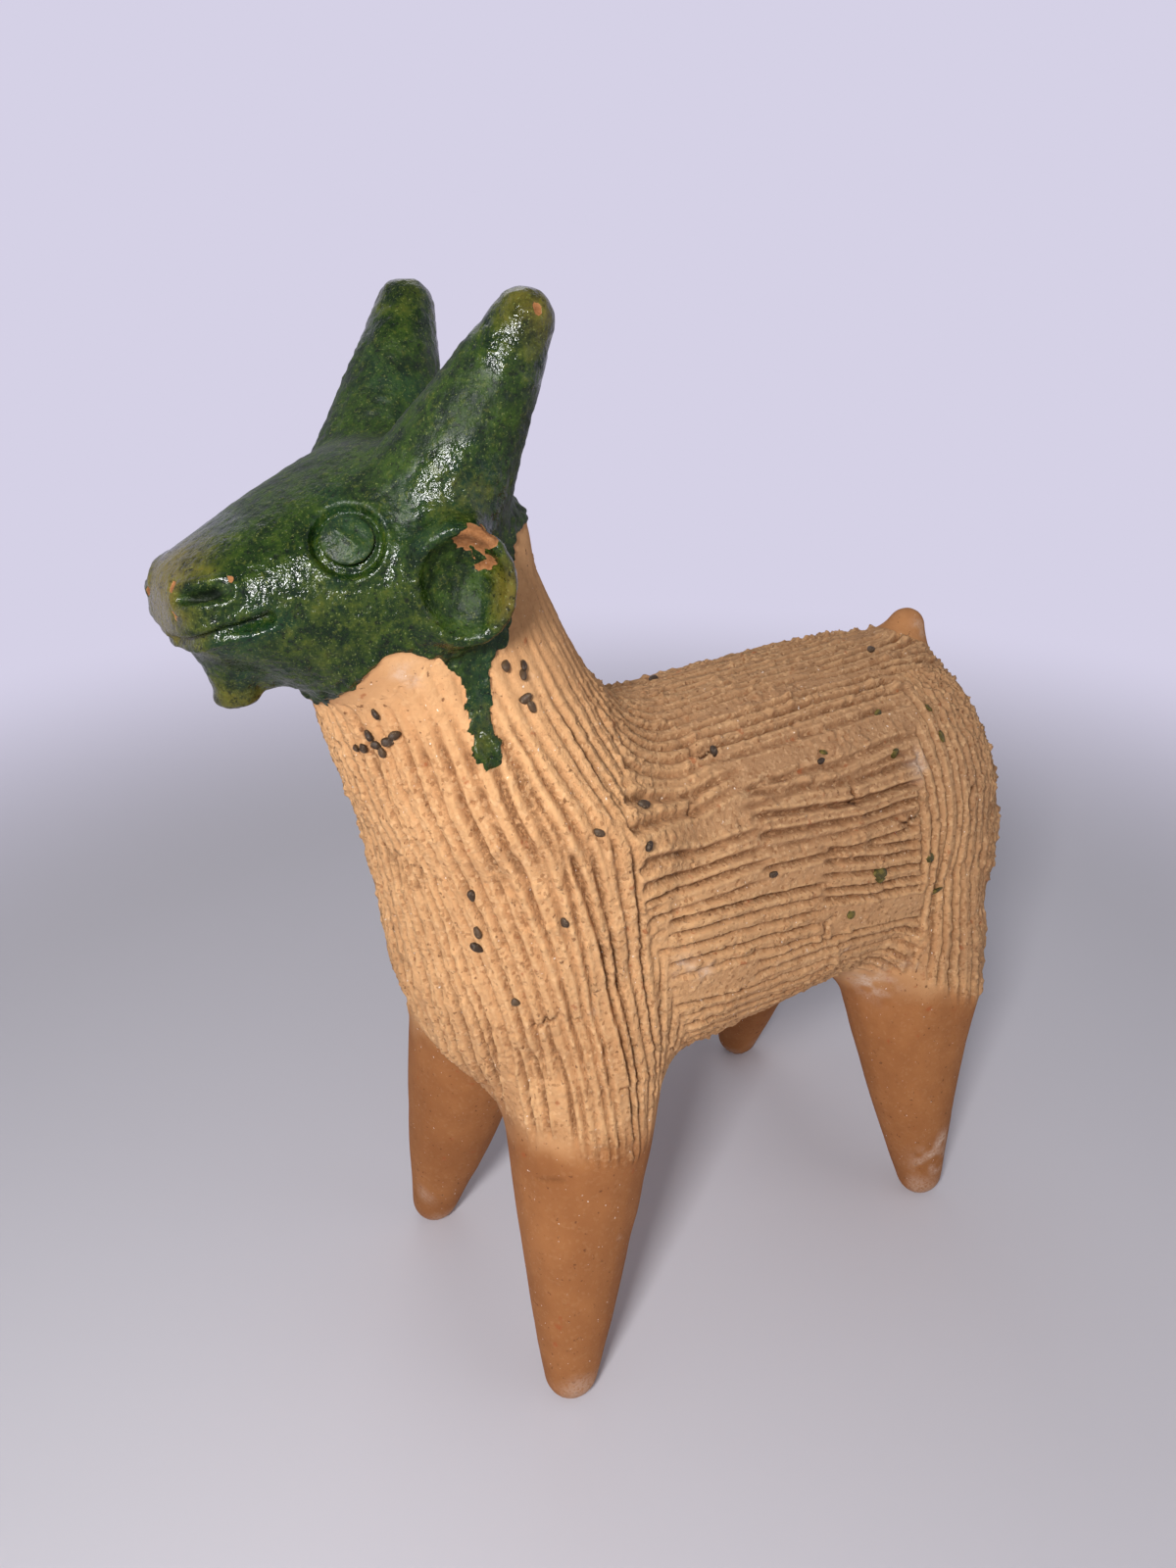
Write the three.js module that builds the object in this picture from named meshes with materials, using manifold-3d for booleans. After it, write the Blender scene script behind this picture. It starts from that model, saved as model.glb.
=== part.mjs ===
// Hand-built earthenware planter in the form of a standing goat.
// Trunk and neck are one hollow water vessel. Its porous wall is combed so that seeds stick to it.
// A potter forms each piece by itself and lutes it on with slip: head, horns, ears, eyes, beard,
// tail and legs. Only the head end is glazed.
// Millimetres. The nose points to -X, +Z is up, the left flank faces -Y, the feet stand on z = 0.

import * as THREE from "three";
import { mergeVertices } from "three/addons/utils/BufferGeometryUtils.js";
import Module from "manifold-3d";

const wasm = await Module();
wasm.setup();

// Luting and wall
const LUTE_GAP = 0.3; // thickness of the slip layer between two pieces
const WALL = 6.5; // fired thickness of the vessel

// Trunk, a barrel that lies along X and ends in a blunt rump
const HIP_X = 52; // the rump rounds off behind this
const RUMP_DEPTH = 38.5;
const RUMP_LEAN = 0.28; // how much farther back the rump reaches below than above
const BACK_HEIGHT = 153.5;
const BELLY_HEIGHT = 70;
const TRUNK_WIDTH = 77;
const TRUNK_FULLNESS = 2.3; // 2 is an ellipse, more is boxier

// Neck piece, a tube that stands on end and takes the barrel in its side.
// Its reaches are measured forward from the withers, where the back line turns up.
const WITHERS_X = -11;
const BARREL_REACH = 34; // how far the barrel goes into the neck piece
const BARREL_NOSE = 12; // its front end is drawn in over this length
const BARREL_DRAW = 9; // and by this much all round
const BRISKET_REACH = 36; // lowest point between the front legs
const BRISKET_DROP = 7; // below the belly
const BREAST_REACH = 68;
const BREAST_DROP = 15.5; // below the back, where the breast turns into the throat
const BREAST_BULGE = 71; // how far forward the lower breast is drawn
const BREAST_TUCK = 8; // how far the breast line hangs back, half way up
const THROAT_REACH = 78;
const THROAT_RISE = 18.5; // above the back
const NAPE_RUN = 15; // how far the back line runs on into the neck
const NAPE_TURN = 15; // height above the back where it turns up
const NAPE_TUCK = 12; // how far it lies behind the nape there
const NAPE_INSET = 3; // the neck's top edge, in front of the poll
const NAPE_BELOW_CROWN = 16.5;
const BELLY_LAP = 1; // how far the neck piece laps under the belly
const SHOULDER_WIDTH = 79;
const NECK_WIDTH = 47;
const SADDLE = 27; // how far the neck's rear edge droops over the flanks

// Combing
const TRUNK_RIDGES = 64; // round the barrel
const RUMP_RIDGES = 34; // from flank to flank round the rump
const NECK_RIDGES = 54; // round the neck piece
const GROOVE_DEPTH = 1.1;

// Filler hole in the nape, for water
const FILLER_BORE = 14;
const FILLER_BELOW_NAPE = 24; // down the nape line to the hole's centre
const FILLER_TILT = 55; // degrees from upright, towards the tail

// Head. Places on it are measured back from the nose, and from its upper or lower line there.
const NOSE_REACH = 24; // the nose in front of the throat
const CHIN_DROP = 3.5; // the chin below the throat
const HEAD_LENGTH = 67;
const HEAD_DEPTH = 46;
const HEAD_WIDTH = 47;
const HEAD_FULLNESS = 2.4;
// Sections from nose to poll, as shares: along, top, bottom, half width
const HEAD_SECTIONS = [
  [0.012, 0.6, 0.41, 0.38],
  [0.05, 0.65, 0.35, 0.53],
  [0.14, 0.715, 0.28, 0.61],
  [0.25, 0.8, 0.19, 0.7],
  [0.37, 0.885, 0.07, 0.84],
  [0.5, 0.97, 0, 0.96],
  [0.65, 1, 0.01, 1],
  [0.81, 0.9, 0.12, 0.86],
  [0.93, 0.78, 0.31, 0.6],
];

// Mouth and nostrils, pressed into the muzzle
const MOUTH_ABOVE_CHIN = 4.8; // above the lower line, half way along the mouth
const MOUTH_LENGTH = 12;
const MOUTH_RISE = 14; // degrees, rising to the corners
const MOUTH_GAPE = 1.6;
const MOUTH_DEPTH = 2.4;
const NOSTRIL_BACK = 4.2;
const NOSTRIL_BELOW_NOSE = 3.2; // below the upper line
const NOSTRIL_LENGTH = 8.5;
const NOSTRIL_GAPE = 3;
const NOSTRIL_DEPTH = 2.5;

// Horns
const HORN_BACK = 43; // root, inside the head
const HORN_SUNK = 13.5; // root below the crown
const HORN_APART = 19; // between the two roots
const HORN_SWEEP = 16.5; // the tip behind the root
const HORN_SPREAD = 12; // the tip outward of the root
const HORN_RISE = 37;
const HORN_ROOT_RADIUS = 14;
const HORN_TIP_RADIUS = 5;

// Ears, small cups that face forward and out
const EAR_BACK = 39.6;
const EAR_BELOW_CROWN = 19.6;
const EAR_STANDOFF = 4.9; // from the head's side to the rim
const EAR_RADIUS = 8.4;
const EAR_STRETCH = 1.17; // taller than wide
const EAR_WALL = 3;
const EAR_CUP = 3.2; // depth of the hollow
const EAR_TURN = 28; // degrees towards the nose

// Eyes, flat pellets in a pressed ring
const EYE_AHEAD = 3.4; // centre in front of the horn's root
const EYE_BELOW_BROW = 7.3;
const EYE_RADIUS = 4.3;
const EYE_RING = 1.6; // width of the pressed ring round the pellet
const EYE_SUNK = 1.4; // depth of the ring
const EYE_PROUD = 1.1; // the pellet's crown above the head's side

// Beard, hanging from the lower lip
const BEARD_BACK = 12;
const BEARD_SUNK = 7.5; // root above the lower line, inside the chin
const BEARD_LENGTH = 15.5;
const BEARD_SWING = 1.5; // the tip forward of the root
const BEARD_ROOT_RADIUS = 8.5;
const BEARD_TIP_RADIUS = 4.5;

// Tail, a stub on top of the rump
const TAIL_BEHIND_HIP = 18;
const TAIL_SUNK = 27.5; // root below the back
const TAIL_SWEEP = 3;
const TAIL_RISE = 6; // tip above the back
const TAIL_ROOT_RADIUS = 15;
const TAIL_TIP_RADIUS = 5;

// Legs, splayed tapers whose roots lie inside the body
const FRONT_FOOT_REACH = 47; // forward of the withers
const FRONT_ROOT_REACH = 29.6;
const FRONT_STANCE = 68; // between the two feet
const FRONT_ROOT_SPACING = 31.4;
const FRONT_ROOT_RADIUS = 22.5;
const REAR_FOOT_BEHIND_HIP = 8;
const REAR_ROOT_BEHIND_HIP = 3.4;
const REAR_STANCE = 79;
const REAR_ROOT_SPACING = 28.4;
const REAR_ROOT_RADIUS = 23.2;
const FOOT_RADIUS = 6.5;
const FOOT_WEAR = 0.5; // height worn off the round end, so that it stands flat

const CLAY = new THREE.MeshStandardMaterial({ color: 0xc98a55, roughness: 0.95, metalness: 0 });
const GLAZE = new THREE.MeshStandardMaterial({ color: 0x24421c, roughness: 0.22, metalness: 0 });

const TRUNK_MIDDLE = (BACK_HEIGHT + BELLY_HEIGHT) / 2;
const TRUNK_HALF = (BACK_HEIGHT - BELLY_HEIGHT) / 2;
const CAVITY_SIDES = 16;

const point = (x, y, z) => new THREE.Vector3(x, y, z);
const inPlane = (x, z) => point(x, 0, z);
const radians = THREE.MathUtils.degToRad;
const middleOf = (a, b) => a.clone().add(b).multiplyScalar(0.5);
const ahead = (reach, z) => inPlane(WITHERS_X - reach, z);

const brisket = ahead(BRISKET_REACH, BELLY_HEIGHT - BRISKET_DROP);
const withers = ahead(0, BACK_HEIGHT);
const breast = ahead(BREAST_REACH, BACK_HEIGHT - BREAST_DROP);
const throat = ahead(THROAT_REACH, BACK_HEIGHT + THROAT_RISE);
// The head's lower front corner, below the nose and level with the chin
const chin = throat.clone().add(inPlane(-NOSE_REACH, -CHIN_DROP));
const nape = chin.clone().add(inPlane(HEAD_LENGTH - NAPE_INSET, HEAD_DEPTH - NAPE_BELOW_CROWN));

// Closed skin over a row of rings, each end drawn together in one point
function loft(rings, start, end) {
  const count = rings[0].length;
  const points = [start, ...rings.flat(), end];
  const last = points.length - 1;
  const tail = 1 + (rings.length - 1) * count;
  const index = [];
  for (let i = 0; i < count; i++) {
    const j = (i + 1) % count;
    index.push(0, 1 + j, 1 + i);
    for (let r = 0; r < rings.length - 1; r++) {
      const a = 1 + r * count;
      const b = a + count;
      index.push(a + i, a + j, b + j, a + i, b + j, b + i);
    }
    index.push(last, tail + i, tail + j);
  }
  const geometry = new THREE.BufferGeometry().setFromPoints(points);
  geometry.setIndex(index);
  return geometry;
}

// Closed solid of a geometry, turned right side out
function solidOf(geometry) {
  const bare = new THREE.BufferGeometry();
  bare.setAttribute("position", geometry.getAttribute("position"));
  bare.setIndex(geometry.index);
  const merged = mergeVertices(bare, 1e-4);
  const triVerts = new Uint32Array(merged.index.array);
  const corners = merged.attributes.position;
  const corner = (i) => new THREE.Vector3().fromBufferAttribute(corners, triVerts[i]);
  let volume = 0;
  for (let i = 0; i < triVerts.length; i += 3) {
    volume += corner(i).dot(corner(i + 1).cross(corner(i + 2)));
  }
  if (volume < 0) triVerts.reverse();
  return new wasm.Manifold(new wasm.Mesh({ numProp: 3, vertProperties: corners.array, triVerts }));
}

function geometryOf(solid) {
  const mesh = solid.getMesh();
  const geometry = new THREE.BufferGeometry();
  geometry.setAttribute("position", new THREE.BufferAttribute(mesh.vertProperties, 3));
  geometry.setIndex(new THREE.BufferAttribute(mesh.triVerts, 1));
  return geometry;
}

// A cosine or sine drawn out towards a box
const fuller = (value, fullness) => Math.sign(value) * Math.abs(value) ** (2 / fullness);

// One ring of the body between a point on its upper line and one on its lower line.
// On a combed ring every second point is pressed in by the comb.
function bodyRing({ upper, lower, halfWidth, saddle = 0 }, { grow, sides, combed, fullness }) {
  const centre = middleOf(upper, lower);
  const axis = upper.clone().sub(lower);
  const half = axis.length() / 2;
  axis.normalize();
  const count = combed ? 2 * sides : sides;
  const ring = [];
  for (let i = 0; i < count; i++) {
    const angle = (2 * Math.PI * i) / count;
    const out = grow - (combed && i % 2 ? GROOVE_DEPTH : 0);
    const spot = centre.clone();
    spot.addScaledVector(axis, (half + out) * fuller(Math.cos(angle), fullness));
    spot.y += (halfWidth + out) * fuller(Math.sin(angle), fullness);
    spot.z -= saddle * Math.max(Math.cos(angle), 0) * Math.sin(angle) ** 2;
    ring.push(spot);
  }
  return ring;
}

// The barrel, combed lengthwise
function barrel(grow, combed) {
  const sides = grow < 0 ? CAVITY_SIDES : TRUNK_RIDGES;
  const style = { grow, combed, sides, fullness: TRUNK_FULLNESS };
  const section = (x, drawn) => bodyRing({
    upper: inPlane(x, BACK_HEIGHT - drawn),
    lower: inPlane(x, BELLY_HEIGHT + drawn),
    halfWidth: TRUNK_WIDTH / 2 - drawn,
  }, style);
  const front = WITHERS_X - BARREL_REACH - grow;
  const rings = [section(front, BARREL_DRAW), section(front + BARREL_NOSE, 0), section(HIP_X, 0)];
  return solidOf(loft(rings, inPlane(front, TRUNK_MIDDLE), inPlane(HIP_X, TRUNK_MIDDLE)));
}

// The rump, combed from the top down
function rump(grow, combed) {
  const levels = 9;
  const overlap = 2;
  const strokes = grow < 0 ? CAVITY_SIDES / 2 : RUMP_RIDGES;
  const count = combed ? 2 * strokes : strokes;
  const rings = [];
  for (let level = 0; level <= levels; level++) {
    const tilt = radians(-88 + (176 * level) / levels);
    const height = TRUNK_MIDDLE + (TRUNK_HALF + grow) * fuller(Math.sin(tilt), TRUNK_FULLNESS);
    const halfWidth = (TRUNK_WIDTH / 2) * fuller(Math.cos(tilt), TRUNK_FULLNESS);
    const lean = 1 - RUMP_LEAN * Math.sin(tilt);
    const reach = RUMP_DEPTH * (0.3 + 0.7 * Math.sqrt(Math.cos(tilt))) * lean;
    const flare = grow * Math.sqrt(Math.cos(tilt));
    const ring = [];
    for (let i = 0; i <= count; i++) {
      const turn = Math.PI * (i / count - 0.5);
      const out = flare - (combed && i % 2 ? Math.min(GROOVE_DEPTH, halfWidth / 4) : 0);
      const back = (reach + out) * fuller(Math.cos(turn), TRUNK_FULLNESS);
      const across = (halfWidth + out) * fuller(Math.sin(turn), TRUNK_FULLNESS);
      ring.push(point(HIP_X + back, across, height));
    }
    const inset = 0.97 * (halfWidth + flare) - GROOVE_DEPTH * Math.cos(tilt);
    ring.push(point(HIP_X - overlap, inset, height));
    ring.push(point(HIP_X - overlap, -inset, height));
    rings.push(ring);
  }
  const low = inPlane(HIP_X, TRUNK_MIDDLE - TRUNK_HALF - grow);
  const high = inPlane(HIP_X, TRUNK_MIDDLE + TRUNK_HALF + grow);
  return solidOf(loft(rings, low, high));
}

const trunkForm = (grow, combed = false) => barrel(grow, combed).add(rump(grow, combed));

// The neck piece, combed from the throat and nape down to the legs
function neckForm(grow, combed = false) {
  const breastLine = new THREE.CubicBezierCurve3(
    brisket,
    ahead(BREAST_BULGE, brisket.z + (breast.z - brisket.z) / 4),
    ahead(BREAST_REACH - BREAST_TUCK, (breast.z + brisket.z) / 2),
    breast,
  );
  const insideTrunk = new THREE.LineCurve3(
    ahead(BRISKET_REACH / 2, BELLY_HEIGHT - BELLY_LAP),
    withers,
  );
  const throatLine = new THREE.LineCurve3(breast, throat);
  const napeLine = new THREE.CubicBezierCurve3(
    withers,
    ahead(NAPE_RUN, BACK_HEIGHT),
    inPlane(nape.x + NAPE_TUCK, BACK_HEIGHT + NAPE_TURN),
    nape,
  );
  const stations = [];
  const shoulderSteps = 5;
  for (let i = 0; i <= shoulderSteps; i++) {
    const t = i / shoulderSteps;
    const swell = Math.sin((Math.PI / 2) * (0.25 + 0.75 * t)) ** 0.7;
    const floor = inPlane(0, -grow * (1 - t));
    const upper = insideTrunk.getPoint(t).add(floor);
    const lower = breastLine.getPoint(t).add(floor);
    stations.push({ upper, lower, halfWidth: (SHOULDER_WIDTH / 2) * swell, saddle: SADDLE * t });
  }
  const neckSteps = 7;
  for (let i = 1; i <= neckSteps; i++) {
    const t = i / neckSteps;
    const ease = THREE.MathUtils.smoothstep(t, 0, 1);
    const halfWidth = THREE.MathUtils.lerp(SHOULDER_WIDTH, NECK_WIDTH, ease) / 2;
    const saddle = SADDLE * (1 - ease);
    stations.push({ upper: napeLine.getPoint(t), lower: throatLine.getPoint(t), halfWidth, saddle });
  }
  const sides = grow < 0 ? CAVITY_SIDES : NECK_RIDGES;
  const style = { grow, combed, sides, fullness: 2.1 };
  const rings = stations.map((station) => bodyRing(station, style));
  const start = middleOf(stations[0].upper, stations[0].lower);
  const end = middleOf(stations.at(-1).upper, stations.at(-1).lower);
  return solidOf(loft(rings, start, end));
}

// Rows of numbers, drawn finer along a smooth curve
function finer(rows, steps) {
  const fine = [];
  for (let r = 0; r < rows.length - 1; r++) {
    const before = rows[Math.max(r - 1, 0)];
    const after = rows[Math.min(r + 2, rows.length - 1)];
    for (let s = 0; s < steps; s++) {
      const t = s / steps;
      fine.push(rows[r].map((value, k) => {
        const next = rows[r + 1][k];
        const inTangent = (next - before[k]) / 2;
        const outTangent = (after[k] - value) / 2;
        const rise = t * t * (3 - 2 * t);
        const early = t * (1 - t) * (1 - t);
        const late = t * t * (t - 1);
        return value + (next - value) * rise + inTangent * early + outTangent * late;
      }));
    }
  }
  return [...fine, rows.at(-1)];
}

const headSections = finer(HEAD_SECTIONS, 2).map(([along, top, bottom, wide]) => ({
  back: along * HEAD_LENGTH,
  high: top * HEAD_DEPTH,
  low: bottom * HEAD_DEPTH,
  halfWidth: (wide * HEAD_WIDTH) / 2,
}));

function headForm(grow) {
  const sides = 22;
  const rings = headSections.map(({ back, high, low, halfWidth }) => {
    const ring = [];
    for (let i = 0; i < sides; i++) {
      const angle = (2 * Math.PI * i) / sides;
      const rise = ((high - low) / 2 + grow) * fuller(Math.cos(angle), HEAD_FULLNESS);
      const across = (halfWidth + grow) * fuller(Math.sin(angle), HEAD_FULLNESS);
      ring.push(point(chin.x + back, across, chin.z + (high + low) / 2 + rise));
    }
    return ring;
  });
  const axisAt = ({ high, low }) => chin.z + (high + low) / 2;
  const nose = inPlane(chin.x - grow, axisAt(headSections[0]));
  const poll = inPlane(chin.x + HEAD_LENGTH + grow, axisAt(headSections.at(-1)));
  return solidOf(loft(rings, nose, poll));
}

// The head's upper line, lower line and half width at a distance back from the nose
function headAt(back) {
  const next = Math.max(headSections.findIndex((section) => section.back >= back), 1);
  const [a, b] = [headSections[next - 1], headSections[next]];
  const t = (back - a.back) / (b.back - a.back);
  const mix = (key) => THREE.MathUtils.lerp(a[key], b[key], t);
  return { high: mix("high"), low: mix("low"), halfWidth: mix("halfWidth") };
}

// Distance from the middle plane to the head's side
function headSide(back, up) {
  const { high, low, halfWidth } = headAt(back);
  const level = Math.abs((2 * up - high - low) / (high - low));
  return halfWidth * (1 - level ** HEAD_FULLNESS) ** (1 / HEAD_FULLNESS);
}

// A place on the head's side, with the direction that the side faces there
function onHead(back, belowTop, side) {
  const up = headAt(back).high - belowTop;
  const slopeBack = (headSide(back + 1, up) - headSide(back - 1, up)) / 2;
  const slopeUp = (headSide(back, up + 1) - headSide(back, up - 1)) / 2;
  return {
    place: point(chin.x + back, side * headSide(back, up), chin.z + up),
    facing: point(-slopeBack, side, -slopeUp).normalize(),
  };
}

// Clay rolled to a taper with a round tip
function rolledTaper(root, tip, rootRadius, tipRadius, sides, fullness = 1) {
  const along = tip.clone().sub(root);
  const shaft = along.length() - tipRadius;
  along.normalize();
  const side = point(0, 1, 0).cross(along).normalize();
  const other = along.clone().cross(side).normalize();
  const ringAt = (distance, radius) => {
    const ring = [];
    for (let i = 0; i < sides; i++) {
      const angle = (2 * Math.PI * i) / sides;
      ring.push(
        root.clone()
          .addScaledVector(along, distance)
          .addScaledVector(side, radius * Math.cos(angle))
          .addScaledVector(other, radius * Math.sin(angle)),
      );
    }
    return ring;
  };
  const shaftSteps = 7;
  const roundSteps = 4;
  const rings = [];
  for (let i = 0; i <= shaftSteps; i++) {
    const share = i / shaftSteps;
    const radius = tipRadius + (rootRadius - tipRadius) * (1 - share) ** fullness;
    rings.push(ringAt(share * shaft, radius));
  }
  for (let i = 1; i < roundSteps; i++) {
    const turn = (Math.PI / 2) * (i / roundSteps);
    rings.push(ringAt(shaft + tipRadius * Math.sin(turn), tipRadius * Math.cos(turn)));
  }
  return solidOf(loft(rings, root, tip));
}

// A form turned on the wheel, set on its place with its axis along a direction
function turned(profile, place, direction, stretch = 1) {
  const outline = profile.map(([radius, height]) => new THREE.Vector2(radius, height));
  const geometry = new THREE.LatheGeometry(outline, 20);
  geometry.scale(1, 1, stretch);
  geometry.applyQuaternion(
    new THREE.Quaternion().setFromUnitVectors(point(0, 1, 0), direction),
  );
  geometry.translate(place.x, place.y, place.z);
  return solidOf(geometry);
}

// Straight round hole between two heights on its axis
const bore = (radius, from, to) => [[0, from], [radius, from], [radius, to], [0, to]];

// Hollow vessel: trunk and neck open into each other, and the nape has the filler hole
const trunkSeat = trunkForm(LUTE_GAP);
const neckSeat = neckForm(LUTE_GAP);
const headSeat = headForm(LUTE_GAP);
const bodySeat = trunkSeat.add(neckSeat);
const cavity = trunkForm(-WALL).add(neckForm(-WALL));

const fillerAxis = inPlane(Math.sin(radians(FILLER_TILT)), Math.cos(radians(FILLER_TILT)));
const downNape = inPlane(fillerAxis.z, -fillerAxis.x);
const fillerMouth = nape.clone().addScaledVector(downNape, FILLER_BELOW_NAPE);
const fillerBore = turned(bore(FILLER_BORE / 2, -3 * WALL, 3 * WALL), fillerMouth, fillerAxis);

const trunkVessel = trunkForm(0, true).subtract(neckSeat).subtract(cavity);
const neckVessel = neckForm(0, true).subtract(cavity).subtract(headSeat).subtract(fillerBore);

function leg(foot, root, rootRadius) {
  const ground = new THREE.BoxGeometry(4 * FOOT_RADIUS, 4 * FOOT_RADIUS, 2 * FOOT_RADIUS);
  ground.translate(foot.x, foot.y, -FOOT_RADIUS);
  return rolledTaper(root, foot, rootRadius, FOOT_RADIUS, 18, 0.85)
    .subtract(bodySeat)
    .subtract(solidOf(ground));
}

function frontLeg(side) {
  const foot = point(WITHERS_X - FRONT_FOOT_REACH, (side * FRONT_STANCE) / 2, -FOOT_WEAR);
  const root = point(WITHERS_X - FRONT_ROOT_REACH, (side * FRONT_ROOT_SPACING) / 2, TRUNK_MIDDLE);
  return leg(foot, root, FRONT_ROOT_RADIUS);
}

function rearLeg(side) {
  const foot = point(HIP_X + REAR_FOOT_BEHIND_HIP, (side * REAR_STANCE) / 2, -FOOT_WEAR);
  const root = point(HIP_X + REAR_ROOT_BEHIND_HIP, (side * REAR_ROOT_SPACING) / 2, TRUNK_MIDDLE);
  return leg(foot, root, REAR_ROOT_RADIUS);
}

function hornForm(side, grow) {
  const rootHeight = chin.z + headAt(HORN_BACK).high - HORN_SUNK;
  const root = point(chin.x + HORN_BACK, (side * HORN_APART) / 2, rootHeight);
  const tip = root.clone().add(point(HORN_SWEEP, side * HORN_SPREAD, HORN_RISE));
  const along = tip.clone().sub(root).normalize();
  root.addScaledVector(along, -grow);
  tip.addScaledVector(along, grow);
  return rolledTaper(root, tip, HORN_ROOT_RADIUS + grow, HORN_TIP_RADIUS + grow, 16);
}

// The two horns meet in the middle plane
function horn(side) {
  const size = HORN_APART + 2 * HORN_ROOT_RADIUS;
  const otherSide = new THREE.BoxGeometry(2 * size, size, 4 * size);
  otherSide.translate(chin.x + HORN_BACK, (-side * (size - LUTE_GAP)) / 2, chin.z + HEAD_DEPTH);
  return hornForm(side, 0)
    .subtract(headSeat)
    .subtract(neckSeat)
    .subtract(solidOf(otherSide));
}

function ear(side) {
  const steps = 4;
  const rim = EAR_WALL / 2;
  const back = [];
  const hollow = [];
  for (let i = 0; i <= steps; i++) {
    const share = i / steps;
    back.push([EAR_RADIUS * share, -EAR_WALL - EAR_CUP * (1 - share ** 2)]);
    hollow.push([(EAR_RADIUS - rim) * (1 - share), -EAR_CUP * (1 - (1 - share) ** 2)]);
  }
  const lip = [[EAR_RADIUS + rim / 2, -EAR_WALL / 2], [EAR_RADIUS, 0]];
  const { place } = onHead(EAR_BACK, EAR_BELOW_CROWN, side);
  place.y += side * EAR_STANDOFF;
  const facing = point(-Math.sin(radians(EAR_TURN)), side * Math.cos(radians(EAR_TURN)), 0);
  return turned([...back, ...lip, ...hollow], place, facing, EAR_STRETCH)
    .subtract(headSeat)
    .subtract(neckSeat)
    .subtract(hornForm(side, LUTE_GAP));
}

function eyePlace(side) {
  return onHead(HORN_BACK - HORN_ROOT_RADIUS - EYE_AHEAD, EYE_BELOW_BROW, side);
}

function eyePocket(side) {
  const { place, facing } = eyePlace(side);
  return turned(bore(EYE_RADIUS + EYE_RING, -EYE_SUNK, 4 * EYE_SUNK), place, facing);
}

function eye(side) {
  const { place, facing } = eyePlace(side);
  const base = -EYE_SUNK + LUTE_GAP;
  const shoulder = EYE_PROUD / 4;
  const crown = [[EYE_RADIUS * 0.84, EYE_PROUD * 0.7], [EYE_RADIUS / 2, EYE_PROUD], [0, EYE_PROUD]];
  return turned([[0, base], [EYE_RADIUS, base], [EYE_RADIUS, shoulder], ...crown], place, facing);
}

function mouthSlit() {
  const slot = new THREE.BoxGeometry(MOUTH_LENGTH, HEAD_WIDTH, MOUTH_GAPE);
  const middle = MOUTH_LENGTH / 2;
  slot.rotateY(-radians(MOUTH_RISE));
  slot.translate(chin.x + middle, 0, chin.z + headAt(middle).low + MOUTH_ABOVE_CHIN);
  return solidOf(slot).subtract(headForm(-MOUTH_DEPTH));
}

function nostril(side) {
  const { place, facing } = onHead(NOSTRIL_BACK, NOSTRIL_BELOW_NOSE, side);
  const pit = new THREE.SphereGeometry(1, 14, 8);
  pit.scale(NOSTRIL_LENGTH / 2, NOSTRIL_DEPTH, NOSTRIL_GAPE / 2);
  pit.applyQuaternion(new THREE.Quaternion().setFromUnitVectors(point(0, side, 0), facing));
  pit.translate(place.x, place.y, place.z);
  return solidOf(pit);
}

function beard() {
  const root = chin.clone().add(inPlane(BEARD_BACK, headAt(BEARD_BACK).low + BEARD_SUNK));
  const tip = root.clone().add(inPlane(-BEARD_SWING, -BEARD_LENGTH));
  return rolledTaper(root, tip, BEARD_ROOT_RADIUS, BEARD_TIP_RADIUS, 14).subtract(headSeat);
}

function tail() {
  const root = inPlane(HIP_X + TAIL_BEHIND_HIP, BACK_HEIGHT - TAIL_SUNK);
  const tip = inPlane(root.x + TAIL_SWEEP, BACK_HEIGHT + TAIL_RISE);
  return rolledTaper(root, tip, TAIL_ROOT_RADIUS, TAIL_TIP_RADIUS, 14).subtract(trunkSeat);
}

let head = headForm(0).subtract(mouthSlit());
for (const side of [-1, 1]) {
  head = head.subtract(eyePocket(side)).subtract(nostril(side));
}

const group = new THREE.Group();

function add(name, solid, material) {
  const mesh = new THREE.Mesh(geometryOf(solid), material);
  mesh.name = name;
  group.add(mesh);
}

add("trunk_vessel", trunkVessel, CLAY);
add("neck_vessel", neckVessel, CLAY);
add("tail", tail(), CLAY);
add("head", head, GLAZE);
add("beard", beard(), GLAZE);
for (const [word, side] of [["left", -1], ["right", 1]]) {
  add(`front_${word}_leg`, frontLeg(side), CLAY);
  add(`rear_${word}_leg`, rearLeg(side), CLAY);
  add(`${word}_horn`, horn(side), GLAZE);
  add(`${word}_ear`, ear(side), GLAZE);
  add(`${word}_eye`, eye(side), GLAZE);
}

// The origin lies on the ground under the middle of the goat's length
const extent = new THREE.Box3().setFromObject(group);
const middleX = (extent.min.x + extent.max.x) / 2;
group.children.forEach((mesh) => mesh.geometry.translate(-middleX, 0, 0));

export default group;
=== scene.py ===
"""A goat planter of terracotta: a hollow combed body for sprouting seeds and a glazed head."""
import math

import bpy
import numpy as np
from mathutils import Matrix, Vector
from mathutils.bvhtree import BVHTree


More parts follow.
